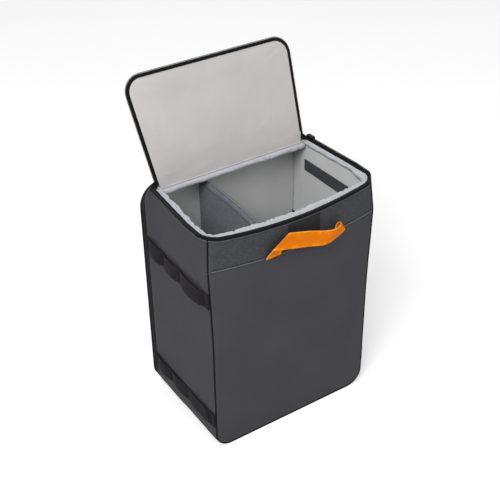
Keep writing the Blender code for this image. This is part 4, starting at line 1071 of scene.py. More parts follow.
    def build(self) -> None:
        """Make all walls."""
        bag, looks = self.bag, self.looks
        panel_rows = np.linspace(0, bag.band_seam - self.mitre, 80)
        band_rows = np.linspace(bag.band_seam + self.mitre, bag.height - 1.5 * MM, 26)
        pad_rows = bag.rows(0, 7 * MM, 70)
        self.shell("front_panel", lambda d: bag.front(d, self.seam_room, panel_rows, True), looks.body, 11)
        self.shell("front_band", lambda d: bag.front(d, self.seam_room, band_rows, False), looks.band, 13,
                   self.band_relief)
        self.seam_fold()
        self.rim_fold()
        self.shell("base_panel", lambda d: bag.base(d, self.seam_room, bag.shell_rear), looks.body, 17)
        self.shell("rear_top_panel", lambda d: bag.rear_strip(d, bag.shell_rear), looks.body, 19)
        self.padding("front", lambda d: bag.front(d, self.mitre, pad_rows, True), 23)
        self.padding("base", lambda d: bag.base(d, self.mitre, bag.pad_rear), 29)
        self.padding("rear_top", lambda d: bag.rear_strip(d, bag.pad_rear), 31)
        for side in Side:
            word = side.name.lower()
            self.shell(f"{word}_side_panel",
                       lambda d, s=side: bag.side(s, d, self.seam_room, 1.5 * MM, bag.shell_rear, 150),
                       looks.body, 37 + side.value, self.side_relief)
            self.padding(word, lambda d, s=side: bag.side(s, d, self.mitre, 7 * MM, bag.pad_rear),
                         41 + side.value)


@dataclass
class Rim(Assembly):
    """Piping, rolled lip, zip tape, zip coil and the lid's fabric hinge."""

    coil_radius: float = 1.4 * MM
    coil_sizes: CoilSizes = CoilSizes()
    lip_end_y: float = 0.0582
    tape_end_y: float = 0.0665
    piping_radius: float = 1.25 * MM
    lip_pivot: tuple[float, float] = (0.0098, -0.0010)
    lip_scale: tuple[float, float] = (0.62, 0.64)
    narrow_from: tuple[float, float] = (0.112, -0.092)
    narrow_over: tuple[float, float] = (0.035, 0.045)
    web_half: float = 0.1405
    web_roll: float = 1.8 * MM

    def piping_path(self) -> np.ndarray:
        """The line of the piping: down the left front corner, under the base and up the right one."""
        bag = self.bag
        heights = bag.rows(bag.base_corner, 4 * MM, 60)[::-1]
        lean = bag.plan_corner(heights) * (1 - math.cos(DIAGONAL))
        low = bag.seam_corner * (1 - math.cos(DIAGONAL))
        radius = bag.base_corner - low
        angle = np.linspace(0, QUARTER, 16)[1:]
        flat = bag.half_width - bag.base_corner
        left_x = np.concatenate([lean - bag.half_width, -flat - radius * np.cos(angle)])
        left_z = np.concatenate([heights, bag.base_corner - radius * np.sin(angle)])
        inset = np.concatenate([lean, np.full(len(angle), low)])
        floor_x = np.linspace(-flat, flat, 40)[1:-1]
        x = np.concatenate([left_x, floor_x, -left_x[::-1]])
        z = np.concatenate([left_z, np.full_like(floor_x, low), left_z[::-1]])
        y = np.concatenate([inset, np.full_like(floor_x, low), inset[::-1]]) - bag.half_depth
        return bag.settle(np.stack([x, y, z], axis=-1))

    def narrowed(self, profile: np.ndarray, about: tuple[float, float], scale: tuple[float, float],
                 end_y: float, fine: int) -> np.ndarray:
        """Rings of a profile round the rim, scaled about a point of it along the right side.

        Args:
            profile: depth and rise of each of its points.
            about: the point that stays.
            scale: scale of depth and of rise on the right.
            end_y: where the rings end beside the hinge.
            fine: steps along the rim.

        Returns:
            The rings.
        """
        rings = self.bag.rim(profile, end_y, fine)
        pivot = np.array(about)
        changed = self.bag.rim(pivot + (profile - pivot) * np.array(scale), end_y, fine)
        (from_x, from_y), (over_x, over_y) = self.narrow_from, self.narrow_over
        x, y = rings[:, :1, :1], rings[:, :1, 1:2]
        share = ease((x - from_x) / over_x) * ease((y - from_y) / over_y)
        return rings * (1 - share) + changed * share

    def lip(self) -> bpy.types.Object:
        """The rolled lip: a loop-shaped profile whose roll is gathered in small puckers along the rim."""
        profile = np.array(((0.0017, -0.0062), (0.0098, -0.0062), (0.0098, -0.0118), (0.0112, -0.0136),
                            (0.0130, -0.0130), (0.0146, -0.0112), (0.0157, -0.0088), (0.0161, -0.0066),
                            (0.0159, -0.0048), (0.0151, -0.0033), (0.0140, -0.0024), (0.0130, -0.0023),
                            (0.0120, -0.0029), (0.0114, -0.0030), (0.0106, -0.0020), (0.0096, -0.0012),
                            (0.0082, -0.0009), (0.0066, -0.0011), (0.0052, -0.0016), (0.0036, -0.0020),
                            (0.0017, -0.0020)))
        rings = self.narrowed(profile, self.lip_pivot, self.lip_scale, self.lip_end_y, 240)
        rolled = ease((profile[:, 0] - 0.0056) / 0.0050)[None]
        upper = ease((profile[:, 1] + 0.0125) / 0.0090)[None]
        inward = rings - rings[:, :1]
        inward = inward / np.maximum(np.linalg.norm(inward, axis=-1, keepdims=True), MM)
        run = run_along(rings, 0)
        fold = creases(run, profile[None, :, 0] + profile[None, :, 1] + 0 * run, 53)
        gather = ripples(rings, (0.75, 19, 53), (0.30, 8, 59))
        gather = gather - 1.2 * MM * fold
        dipped = self.bag.height + profile[None, :, 1] - rings[..., 2]
        lift = 0.55 * dipped * rolled * upper * (1 + 0.12 * ripple(rings, 30 * MM, 55))
        rings = rings + inward * ((gather - 0.2 * MM) * rolled)[..., None]
        sink = 0.30 * MM * np.minimum(ripple(rings, 12 * MM, 57), 0) - 1.4 * MM * fold
        rings[..., 2] += lift + rolled * upper * sink
        return self.sew("rim_lip_roll", tube_skin(rings), self.looks.lip, ("rim_lip",), 0.5)

    def stitches(self) -> bpy.types.Object:
        """The dark seam under the rolled lip, whose stitches also paint the shadow line under the lip."""
        seam = np.array(((0.0117, -0.0137),))
        line = self.narrowed(seam, self.lip_pivot, self.lip_scale, self.lip_end_y, 60)[:, 0]
        centre = line.mean(0)
        sewn = stitch_skin(line, lambda place: (centre - place) * np.array((1, 1, 0)))
        return self.sew("rim_lip_seam_and_shadow_stitches", sewn, self.looks.pale_thread)

    def hinge_roll(self) -> bpy.types.Object:
        """The lip along the hinge: a soft rounded bar, gathered in long shallow waves."""
        bag = self.bag
        reach = bag.half_width - bag.hinge_shoulder - 0.4 * MM
        x = np.linspace(-reach, reach, 160)[:, None]
        top, low = bag.height - 4.6 * MM, bag.height - 15.6 * MM
        profile = np.array(((0.0561, low + 5.2 * MM), (0.0564, low + 3.2 * MM), (0.0575, low + 1.2 * MM),
                            (0.0600, low + 0.2 * MM), (0.0650, low), (0.0712, low), (0.0712, top),
                            (0.0665, top), (0.0625, top - 0.1 * MM), (0.0597, top - 0.7 * MM),
                            (0.0577, top - 2.0 * MM), (0.0565, top - 3.8 * MM)))
        rings = bag.settle(placed(x, profile[:, 0], profile[:, 1]))
        front = ease((0.068 - profile[:, 0]) / 0.008)[None]
        fold = creases(x + 0 * front, profile[None, :, 1] + 0 * x, 67, 17 * MM)
        wave = ripples(rings, (0.7, 30, 61), (0.3, 9, 67)) - 2.0 * MM * fold
        rings = rings - np.array((0, 1, 0)) * ((wave - 0.3 * MM) * front)[..., None]
        droop = 0.9 * MM * ripple(rings[:, :1] * np.array((1, 0, 0)), 34 * MM, 63)
        rings[..., 2] += droop * ease((top - rings[..., 2]) / (5 * MM)) * front
        line = placed(x[:, 0], 0.0594, top + 0.4 * MM)
        sewn = stitch_skin(bag.settle(line), np.array((0, -0.6, 0.8)), 2.4 * MM, 0.5 * MM, 0.9 * MM)
        self.sew("hinge_lip_stitches", sewn, self.looks.pale_thread)
        return self.sew("hinge_lip_roll", tube_skin(rings), self.looks.lip, ("hinge_lip",), 0.5)

    def web(self) -> bpy.types.Object:
        """The lid's fabric hinge: a rolled edge on the axis and a leaf sewn to the strip behind it."""
        bag = self.bag
        angle = np.linspace(-DIAGONAL / 2, math.pi + DIAGONAL, 12)
        turn = self.web_roll * np.stack([np.cos(angle), np.sin(angle)], axis=-1)
        roll = np.array((bag.hinge_y, bag.axis_z)) + turn
        start, end = bag.hinge_y + 2.5 * MM, bag.hinge_y + 9 * MM
        leaf = np.array(((start, bag.rear_top(start) + 0.3 * MM), (end, bag.rear_top(end) + 0.3 * MM),
                         (end, bag.rear_top(end) + 1.2 * MM)))
        profile = np.concatenate([roll, leaf])
        x = np.linspace(-self.web_half, self.web_half, 90)[:, None]
        rings = placed(x, profile[:, 0], profile[:, 1])
        rings[..., 2] += ripples(rings, (0.12, 12, 71))
        return self.sew("lid_hinge_fabric", tube_skin(rings), self.looks.trim, ("lid_hinge",), 0.3)

    def build(self) -> None:
        """Make the rim."""
        piping = cord_skin(evenly(self.piping_path(), 4 * MM), self.piping_radius, 10)
        self.sew("front_piping_cord", piping, self.looks.trim, ("front_piping",))
        self.lip()
        self.stitches()
        outline = np.array(((-0.0013, -0.0042), (-0.0005, -0.0044), (-0.0005, -0.0012), (0.0020, -0.0013),
                            (0.0046, -0.0013), (0.0049, -0.0008), (0.0046, -0.0002), (0.0020, 0.0000),
                            (0.0, -0.0001), (-0.0011, -0.0006), (-0.0014, -0.0020)))
        rings = self.narrowed(outline, (0.0, 0.0), (1.7, 1.0), self.tape_end_y, 110)
        rings[..., 2] += ripples(rings, (0.15, 14, 73))
        self.sew("body_zip_tape_cloth", tube_skin(rings), self.looks.trim, ("body_zip_tape",), 0.1)
        middle = self.bag.rim(np.array(((0.0, self.coil_radius),)), self.tape_end_y, 60)[:, 0]
        coil = coil_skin(middle, np.array((0, 0, 1.0)), self.coil_sizes)
        self.sew("body_zip_teeth", coil, self.looks.coil, ("body_zip_coil",))
        self.hinge_roll()
        self.web()


@dataclass
class Lid(Assembly):
    """The lid, drawn closed from its hinge and laid open: cover, pad, binding and its half of the zip."""

    body: str = "lid"
    open_angle: float = math.radians(112.9)
    hinge_half: float = 0.1405
    half: float = 0.150
    reach: float = 0.167
    widest: float = 0.135
    corner: float = 0.029
    start: float = 0.0024
    pad_inset: float = 0.0064
    pad_crown: float = 6.0 * MM
    pad_depth: float = 9.3 * MM
    coil_sizes: CoilSizes = CoilSizes()

    def laid_open(self, points: np.ndarray) -> np.ndarray:
        """Closed points turned about the hinge's axis: a rotation of Y and Z by the open angle."""
        cosine, sine = math.cos(self.open_angle), math.sin(self.open_angle)
        x, y, z = points[..., 0], points[..., 1], points[..., 2]
        far = self.bag.hinge_y + y * cosine + z * sine
        return np.stack([x, far, self.bag.axis_z - y * sine + z * cosine], axis=-1)

    def half_width(self, reach: np.ndarray) -> np.ndarray:
        """Half the lid's width at a distance from the hinge."""
        return self.hinge_half + (self.half - self.hinge_half) * np.clip(reach / self.widest, 0, 1)

    def plan(self, inset: float, start: float, fine: int = 60) -> tuple[np.ndarray, np.ndarray, np.ndarray]:
        """X, reach and distance from the edge of a grid over the lid at an inset from its outline."""
        corner = self.corner - inset
        flat = self.half - self.corner
        arc = flat + corner * np.sin(np.linspace(0, QUARTER, 14)[1:])
        end_x = np.concatenate([-arc[::-1], np.linspace(-flat, flat, fine), arc])
        bend = np.clip(np.abs(end_x) - flat, 0, None)
        end = self.reach - self.corner + np.sqrt(np.clip(corner ** 2 - bend ** 2, 0, None))
        reach = start + (end - start) * np.linspace(0, 1, fine)[:, None]
        x = end_x / (self.half - inset) * (self.half_width(reach) - inset)
        beside = np.clip(np.abs(x) - (self.half_width(reach) - self.corner), 0, None)
        beyond = np.clip(reach - (self.reach - self.corner), 0, None)
        edge = np.minimum(self.corner - np.hypot(beside, beyond), self.half_width(reach) - np.abs(x))
        edge = np.minimum(edge, self.reach - reach)
        return x, reach, edge

    def rings(self, outline: np.ndarray, start: float) -> np.ndarray:
        """Rings of a profile, given as inset and rise, round the lid's three free sides."""
        inset, rise = outline[None, :, 0], outline[None, :, 1]
        corner = self.corner - inset
        straight = np.linspace(start, self.reach - self.corner, 40)[:, None]
        side_x = inset - self.half_width(straight)
        angle = np.linspace(0, QUARTER, 16)[1:, None]
        x = np.concatenate([side_x, self.corner - self.half - corner * np.cos(angle)])
        reach = np.concatenate([straight + 0 * inset, self.reach - self.corner + corner * np.sin(angle)])
        end_x = (self.half - self.corner) * np.linspace(-1, 1, 60)[1:-1, None] + 0 * inset
        x = np.concatenate([x, end_x, -x[::-1]])
        reach = np.concatenate([reach, self.reach - inset + 0 * end_x, reach[::-1]])
        return self.laid_open(placed(x, -reach, rise))

    def cover(self) -> bpy.types.Object:
        """The outer cloth of the lid, with a shallow swell and a tucked edge."""
        x, reach, edge = self.plan(1.7 * MM, self.start)
        flat = placed(x, -reach, 0.0)
        swell = ripples(flat, (0.35, 70, 79)) * ease(edge / (30 * MM))
        swell = swell - 0.5 * MM * hump(edge - 1.7 * MM, 3 * MM)
        top = -0.25 * MM + np.minimum(swell, 0.15 * MM)
        outer = self.laid_open(placed(x, -reach, top))
        inner = self.laid_open(placed(x, -reach, -1.35 * MM))
        return self.sew("lid_cover_cloth", closed_skin(outer, inner), self.looks.band, ("lid_cover",), 0.9)

    def pad(self) -> bpy.types.Object:
        """The padded inner face: foam in its lining, crowned, blown up as cloth that is held at its back."""
        x, reach, edge = self.plan(self.pad_inset, self.start + 2.6 * MM, 76)
        inside = edge - self.pad_inset
        roll = np.sqrt(np.clip(1 - (1 - np.clip(inside / (2.2 * MM), 0, 1)) ** 2, 0, 1))
        pillow = 1 - np.exp(-(np.minimum(edge, reach + 7 * MM) / (40 * MM)) ** 2)
        back = -1.6 * MM
        face = back - 0.2 * MM - 2.2 * MM * roll - (self.pad_crown - 1.6 * MM) * pillow
        piece = mesh_of("lid_pad", closed_skin(placed(x, -reach, face), placed(x, -reach, back)))
        still = (inside < 1.5 * MM) | (reach < self.start + 6 * MM)
        held = np.concatenate([still.ravel(), np.ones(x.size, bool)])
        Inflation(pressure=2.5, most=1.1 * MM).blow(piece, held)
        place = points_of(piece)
        loose = ease((-place[:, 2] - 3.0 * MM) / (3 * MM))
        sway = ripples(place, (0.35, 60, 83), (0.12, 21, 84))
        place[:, 2] -= loose * sway
        place[:, 2] = np.maximum(place[:, 2], -self.pad_depth)
        put_points(piece, self.laid_open(place))
        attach(piece, self.body)
        return self.wardrobe.dress(piece, self.looks.lid_face, ("lid_foam", "lid_lining"), 0.75)

    def gusset(self) -> bpy.types.Object:
        """The soft lining strip from the lip along the hinge to the lid's pad, drawn at the lid's open angle.
        """
        start = np.array((self.bag.hinge_y - 5.4 * MM, self.bag.height - 6.4 * MM))
        lid_side = self.laid_open(np.array(((0.0, -self.start - 5.2 * MM, -4.75 * MM),)))[0]
        end = lid_side[1:]
        share = np.linspace(0, 1, 30)[:, None]
        bulge = np.array((-0.75, 0.25)) * 0.3 * MM
        line = start + (end - start) * share + bulge * np.sin(math.pi * share)
        half = self.half_width(np.array(self.start + 4.6 * MM)) - self.pad_inset
        x = np.linspace(-1, 1, 190)[None] * (half - 4 * MM * (1 - share) ** 2)
        grid = placed(x, line[:, :1], line[:, 1:])
        fold = creases(x + 0 * share, share * 12 * MM + 0 * x, 137, 24 * MM) * (1 - ease(share / 0.9))
        wave = ripples(grid, (0.35, 30, 131)) - 0.6 * MM * fold
        move = np.array((0, -0.85, 0.5)) * (wave * np.sin(math.pi * share) ** 0.5)[..., None]
        back = grid + np.array((0, 0.85, -0.5)) * (1.0 * MM)
        piece = mesh_of("hinge_gusset", closed_skin(grid + move, back + move))
        self.wardrobe.dress(piece, self.looks.lid_face, (), 0.3)
        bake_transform(piece)
        return piece

    def zip_end(self, side: Side) -> None:
        """The end of the zip beside the hinge: black tape that runs from the rim to the lid and bends."""
        bag = self.bag
        low = bag.rim(np.array(((-0.0012, -0.0030), (0.0110, -0.0010))), 0.0665, 20)
        low = low[0] if side is Side.LEFT else low[-1]
        high = self.rings(np.array(((0.0002, -0.0012), (0.0100, -0.0030))), self.start)
        high = high[0] if side is Side.LEFT else high[-1]
        share = np.linspace(-0.25, 1.2, 16)[:, None, None]
        across = np.linspace(0, 1, 9)[None, :, None]
        below, above = (edge[0] * (1 - across) + edge[1] * across for edge in (low, high))
        strip = below * (1 - share) + above * share
        strip = strip + np.array((0, 0.4, 0.9)) * 1.0 * MM * np.sin(math.pi * np.clip(share, 0, 1))
        back = strip + np.array((-0.3 * side.value, 0.5, -0.3)) * 1.4 * MM
        piece = mesh_of(f"zip_end_{side.name.lower()}", closed_skin(strip, back))
        self.wardrobe.dress(piece, self.looks.trim, (), 0.2)
        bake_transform(piece)

    def build(self) -> None:
        """Make the lid."""
        self.cover()
        self.pad()
        self.gusset()
        for side in Side:
            self.zip_end(side)
        tape = ((0.0015, -0.0016), (0.0048, -0.0016), (0.0050, -0.0020), (0.0048, -0.0024),
                (0.0030, -0.0025), (0.0015, -0.0024))
        edge = ((0.0046, -0.0016), (0.0063, -0.0016), (0.0066, -0.0027), (0.0063, -0.0036),
                (0.0055, -0.0039), (0.0047, -0.0036), (0.0044, -0.0027))
        for name, outline, node in (("lid_zip_tape_cloth", tape, "lid_zip_tape"),
                                    ("lid_binding_roll", edge, "lid_binding")):
            rolled = tube_skin(self.rings(np.array(outline), self.start))
            self.sew(name, rolled, self.looks.trim, (node,), 0.2)
        middle = self.rings(np.array(((0.0011, -0.0012),)), self.start)[:, 0]
        outward = self.laid_open(np.array(((0, 0, 1.0),))) - self.laid_open(np.zeros((1, 3)))
        coil = coil_skin(middle, outward[0], self.coil_sizes)
        self.sew("lid_zip_teeth", coil, self.looks.coil, ("lid_zip_coil",))


@dataclass(frozen=True)
class Inflation:
    """Cloth simulation that blows a closed form up like a stuffed pad."""

    voxel: float = 5 * MM
    pressure: float = 4.0
    most: float = 4 * MM
    frames: int = 20

    def apply(self, piece: bpy.types.Object) -> None:
        """Remesh the piece, blow it up, hold each point within the most that it may move, and smooth it once.

        Args:
            piece: a closed mesh with no live modifiers.
        """
        bpy.context.view_layer.objects.active = piece
        remesh = piece.modifiers.new("cells", "REMESH")
        remesh.mode = "VOXEL"
        remesh.voxel_size = self.voxel
        bpy.ops.object.modifier_apply(modifier=remesh.name)
        self.blow(piece)
        smooth = piece.modifiers.new("smooth", "SUBSURF")
        smooth.levels = smooth.render_levels = 1
        bpy.ops.object.modifier_apply(modifier=smooth.name)
        piece.data.attributes.new(EDGE_WEAR_AND_HIGHLIGHT_MAP, "FLOAT", "POINT")
        piece.data.shade_smooth()

    def blow(self, piece: bpy.types.Object, pinned: np.ndarray | None = None) -> None:
        """Run the cloth for its frames and write the points back to the mesh, no further than they may go.

        Args:
            piece: a closed mesh with no live modifiers.
            pinned: which of its points stay where they are.
        """
        rest = points_of(piece)
        cloth = piece.modifiers.new("cloth", "CLOTH")
        cloth.settings.use_pressure = True
        cloth.settings.uniform_pressure_force = self.pressure
        cloth.settings.effector_weights.gravity = 0
        cloth.settings.quality = 5
        cloth.settings.tension_stiffness = cloth.settings.compression_stiffness = 15
        cloth.settings.bending_stiffness = 0.5
        if pinned is not None:
            group = piece.vertex_groups.new(name="held")
            group.add(np.flatnonzero(pinned).tolist(), 1.0, "REPLACE")
            cloth.settings.vertex_group_mass = group.name
        cloth.point_cache.frame_start = 1
        cloth.point_cache.frame_end = self.frames
        scene = bpy.context.scene
        for frame in range(1, self.frames + 1):
            scene.frame_set(frame)
        blown = piece.evaluated_get(bpy.context.evaluated_depsgraph_get())
        move = points_of(blown) - rest
        piece.modifiers.remove(cloth)
        piece.vertex_groups.clear()
        size = np.linalg.norm(move, axis=1, keepdims=True)
        held = move * np.minimum(1, self.most / np.maximum(size, 1e-9))
        put_points(piece, rest + held)
        scene.frame_set(1)


@dataclass
class RearDoor(Assembly):
    """The rear door with both halves of its zip, its binding and its fabric hinge."""

    fixed: str = "box"
    moving: str = "door"
    hinge_rings: int = 24
    web_x: float = 0.1503
    web_y: tuple[float, float] = (0.0860, 0.1050)
    web_z: tuple[float, float] = (0.036, 0.352)
    coil_sizes: CoilSizes = CoilSizes(2.2 * MM, 1.0 * MM, 0.80 * MM, 0.42 * MM, 8)

    def plan(self, inset: float, y: float, fine: int = 50) -> np.ndarray:
        """Grid over the rear outline at an inset: rows go up, columns go across."""
        bag = self.bag
        upper, lower = bag.rear_shoulder - inset, bag.base_corner - inset
        top = bag.rear_top(bag.half_depth) - inset
        reach = bag.half_width - inset
        flat = reach - upper
        arc = flat + upper * np.sin(np.linspace(0, QUARTER, 14)[1:])
        x = np.concatenate([-arc[::-1], np.linspace(-flat, flat, fine), arc])
        bend = np.clip(np.abs(x) - flat, 0, None)
        high = top - upper + np.sqrt(np.clip(upper ** 2 - bend ** 2, 0, None))
        low_bend = np.clip(np.abs(x) - (reach - lower), 0, None)
        low = inset + lower - np.sqrt(np.clip(lower ** 2 - low_bend ** 2, 0, None))
        z = low + (high - low) * np.linspace(0, 1, fine + 20)[:, None]
        return placed(x, y, z)

    def panel(self) -> bpy.types.Object:
        """The outer cloth of the door, swelling softly inside its binding."""
        outer, inner = self.plan(3.5 * MM, 0.1046), self.plan(3.5 * MM, 0.1034)
        edge = edge_distance(outer)
        free = ease(edge / (25 * MM))
        swell = 0.9 * MM * free + 0.4 * MM * free * ripple(outer, 80 * MM, 89) - 0.4 * MM * hump(edge, 3 * MM)
        move = placed(0.0, swell, 0.0)
        skin = closed_skin(outer + move, inner + move * free[..., None])
        return self.sew("door_cover_cloth", skin, self.looks.body, ("door_cover",), 0.9, body=self.moving)

    def padding(self) -> bpy.types.Object:
        """The door's foam in its lining, rounded at the edge and quilted by its own tension."""
        outer, inner = self.plan(5.7 * MM, 0.1030), self.plan(5.7 * MM, 0.0957)
        edge = edge_distance(inner)
        relief = 1.8 * MM * hump(edge, 3.5 * MM)
        relief = relief + ripples(inner, (0.35, 55, 97)) * ease(edge / (25 * MM))
        relief = np.maximum(relief, 0) + 0.1 * MM
        move = placed(0.0, relief, 0.0)
        return self.sew("door_padding", closed_skin(inner + move, outer), self.looks.lining,
                        ("door_foam", "door_lining"), 0.8, body=self.moving)

    def band(self, name: str, outline: tuple[tuple[float, float], ...], body: str,
             node: str) -> bpy.types.Object:
        """A closed band of binding cloth round the rear outline, with a light pucker."""
        rings = self.bag.rear_loop(np.array(outline))
        rings[..., 1] += ripples(rings, (0.08, 11, 101))
        return self.sew(name, tube_skin(rings, closed=True), self.looks.trim, (node,), 0.2, body=body)

    def coil(self, name: str, y: float, body: str, node: str) -> bpy.types.Object:
        """A zip coil round the rear outline, open along the hinge."""
        path = self.bag.rear_loop(np.array(((1.6 * MM, y),)))[: -self.hinge_rings, 0]
        coil = coil_skin(path, np.array((0.02, 1.0, 0.03)), self.coil_sizes)
        return self.sew(name, coil, self.looks.coil, (node,), body=body)

    def web(self) -> bpy.types.Object:
        """The door's fabric hinge, a narrow strip beside the rear edge."""
        y = np.linspace(*self.web_y, 14)[None]
        z = np.linspace(*self.web_z, 120)[:, None]
        near = placed(self.web_x, y, z)
        lift = ripples(near, (0.12, 18, 103)) * ease((0.1045 - y) / (4 * MM))
        far = near + np.array((1, 0, 0)) * (1.0 * MM + lift)[..., None]
        piece = mesh_of("door_hinge_fabric", closed_skin(far, near))
        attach(piece, self.fixed)
        return self.wardrobe.dress(piece, self.looks.trim, ("door_hinge",))

    def build(self) -> None:
        """Make the door and the zip that stays on the box."""
        fixed = ((0.0, 0.0888), (0.0010, 0.0888), (0.0010, 0.0960), (0.0006, 0.0962), (0.0, 0.0960),
                 (-0.0001, 0.0924))
        stay = ((0.0035, 0.0990), (0.0054, 0.0990), (0.0054, 0.1031), (0.0035, 0.1031))
        edge = ((0.0, 0.1030), (0.0008, 0.1024), (0.0030, 0.1023), (0.0031, 0.1048), (0.0022, 0.1052),
                (0.0008, 0.1050), (0.0, 0.1044))
        self.band("door_zip_tape_cloth", fixed, self.fixed, "door_zip_tape_body")
        self.web()
        self.coil("door_zip_teeth_body", 0.0976, self.fixed, "door_zip_coil_body")
        self.panel()
        self.padding()
        self.band("door_binding_roll", edge, self.moving, "door_binding")
        self.band("door_zip_stay", stay, self.moving, "door_zip_tape")
        self.coil("door_zip_teeth", 0.1007, self.moving, "door_zip_coil")


@dataclass
class Webbing(Assembly):
    """The webbing on both sides, tacked down and standing off between its tacks."""

    width: float = 28 * MM
    thickness: float = 1.3 * MM
    gap: float = 0.8 * MM
    stands: tuple[float, float] = (5.0 * MM, 3.6 * MM)
    front_end: float = -0.1024
    tacks: tuple[float, ...] = (-0.092, -0.020, 0.033, 0.083)
    tack_half: float = 3 * MM
    tack_rows: tuple[float, ...] = (-1.6 * MM, 0.0, 1.6 * MM)
    heights: tuple[float, float] = (0.3030, 0.0625)

    def line(self, fine: int = 40) -> tuple[np.ndarray, np.ndarray]:
        """Y along the strap from the corner piping back, and how far it stands off as a share of the most."""
        share = np.linspace(0, 1, fine)
        y, stand = [np.linspace(self.front_end, self.tacks[0] - self.tack_half, 6)], [np.zeros(6)]
        for number, (tack, after) in enumerate(zip(self.tacks, self.tacks[1:])):
            start, end = tack + self.tack_half, after - self.tack_half
            y.append(start + (end - start) * share)
            skewed = share ** (0.72 if number == 0 else 1.1)
            stand.append((1.0, 0.85, 1.1)[number] * (1 - np.abs(2 * skewed - 1) ** 3))
        y.append(np.array([self.tacks[-1] + self.tack_half]))
        return np.concatenate(y), np.concatenate(stand + [np.zeros(1)])

    def strap(self, side: Side, level: str, middle: float, seed: int) -> None:
        """One strap and its bar tacks.

        Args:
            side: left or right.
            level: upper or lower.
            middle: height of its middle.
            seed: start of its unevenness.
        """
        y, off = self.line()
        stand = off * self.stands[0 if level == "upper" else 1]
        round_off = self.bag.seam_corner
        past = np.clip(round_off - self.bag.half_depth - y, 0, None)
        inward = round_off - np.sqrt(round_off ** 2 - past ** 2)
        z = middle + self.width * np.linspace(-0.5, 0.5, 22)[:, None]
        across = np.linspace(-1, 1, 22)[:, None]
        limp = ease(off)
        flat = placed(0.0, y, z)
        sag = limp * (ripples(flat, (0.9, 46, seed)) - 0.8 * MM * across ** 2)
        rim = 0.18 * MM * hump(np.abs(across) - 0.93, 0.07)
        grids = []
        for lift, edge in ((self.gap + self.thickness, rim), (self.gap, -rim)):
            x = side.value * (self.bag.half_width + lift + stand + sag * (stand > 0) + edge - inward)
            grids.append(self.bag.settle(placed(x, y, z - 1.0 * MM * limp * (1 - across ** 2))))
        word = side.name.lower()
        self.sew(f"{word}_{level}_strap", closed_skin(*grids), self.looks.strap, (f"{word}_{level}_webbing",),
                 0.1)
        rows = []
        surface = side.value * (self.bag.half_width + self.gap + self.thickness + 0.25 * MM)
        height = middle + (self.width / 2 - 2 * MM) * np.linspace(-1, 1, 20)
        for tack in self.tacks:
            for offset in self.tack_rows:
                path = placed(surface, tack + offset, height)
                outwards = np.array((side.value, 0, 0.0))
                rows.append(stitch_skin(self.bag.settle(path), outwards, 1.6 * MM, 0.5 * MM, 0.8 * MM))
        self.sew(f"{word}_{level}_tacks", as_one(rows), self.looks.thread)

    def build(self) -> None:
        """Make the four straps."""
        for side in Side:
            self.strap(side, "upper", self.heights[0], 107 + side.value)
            self.strap(side, "lower", self.heights[1], 113 + side.value)


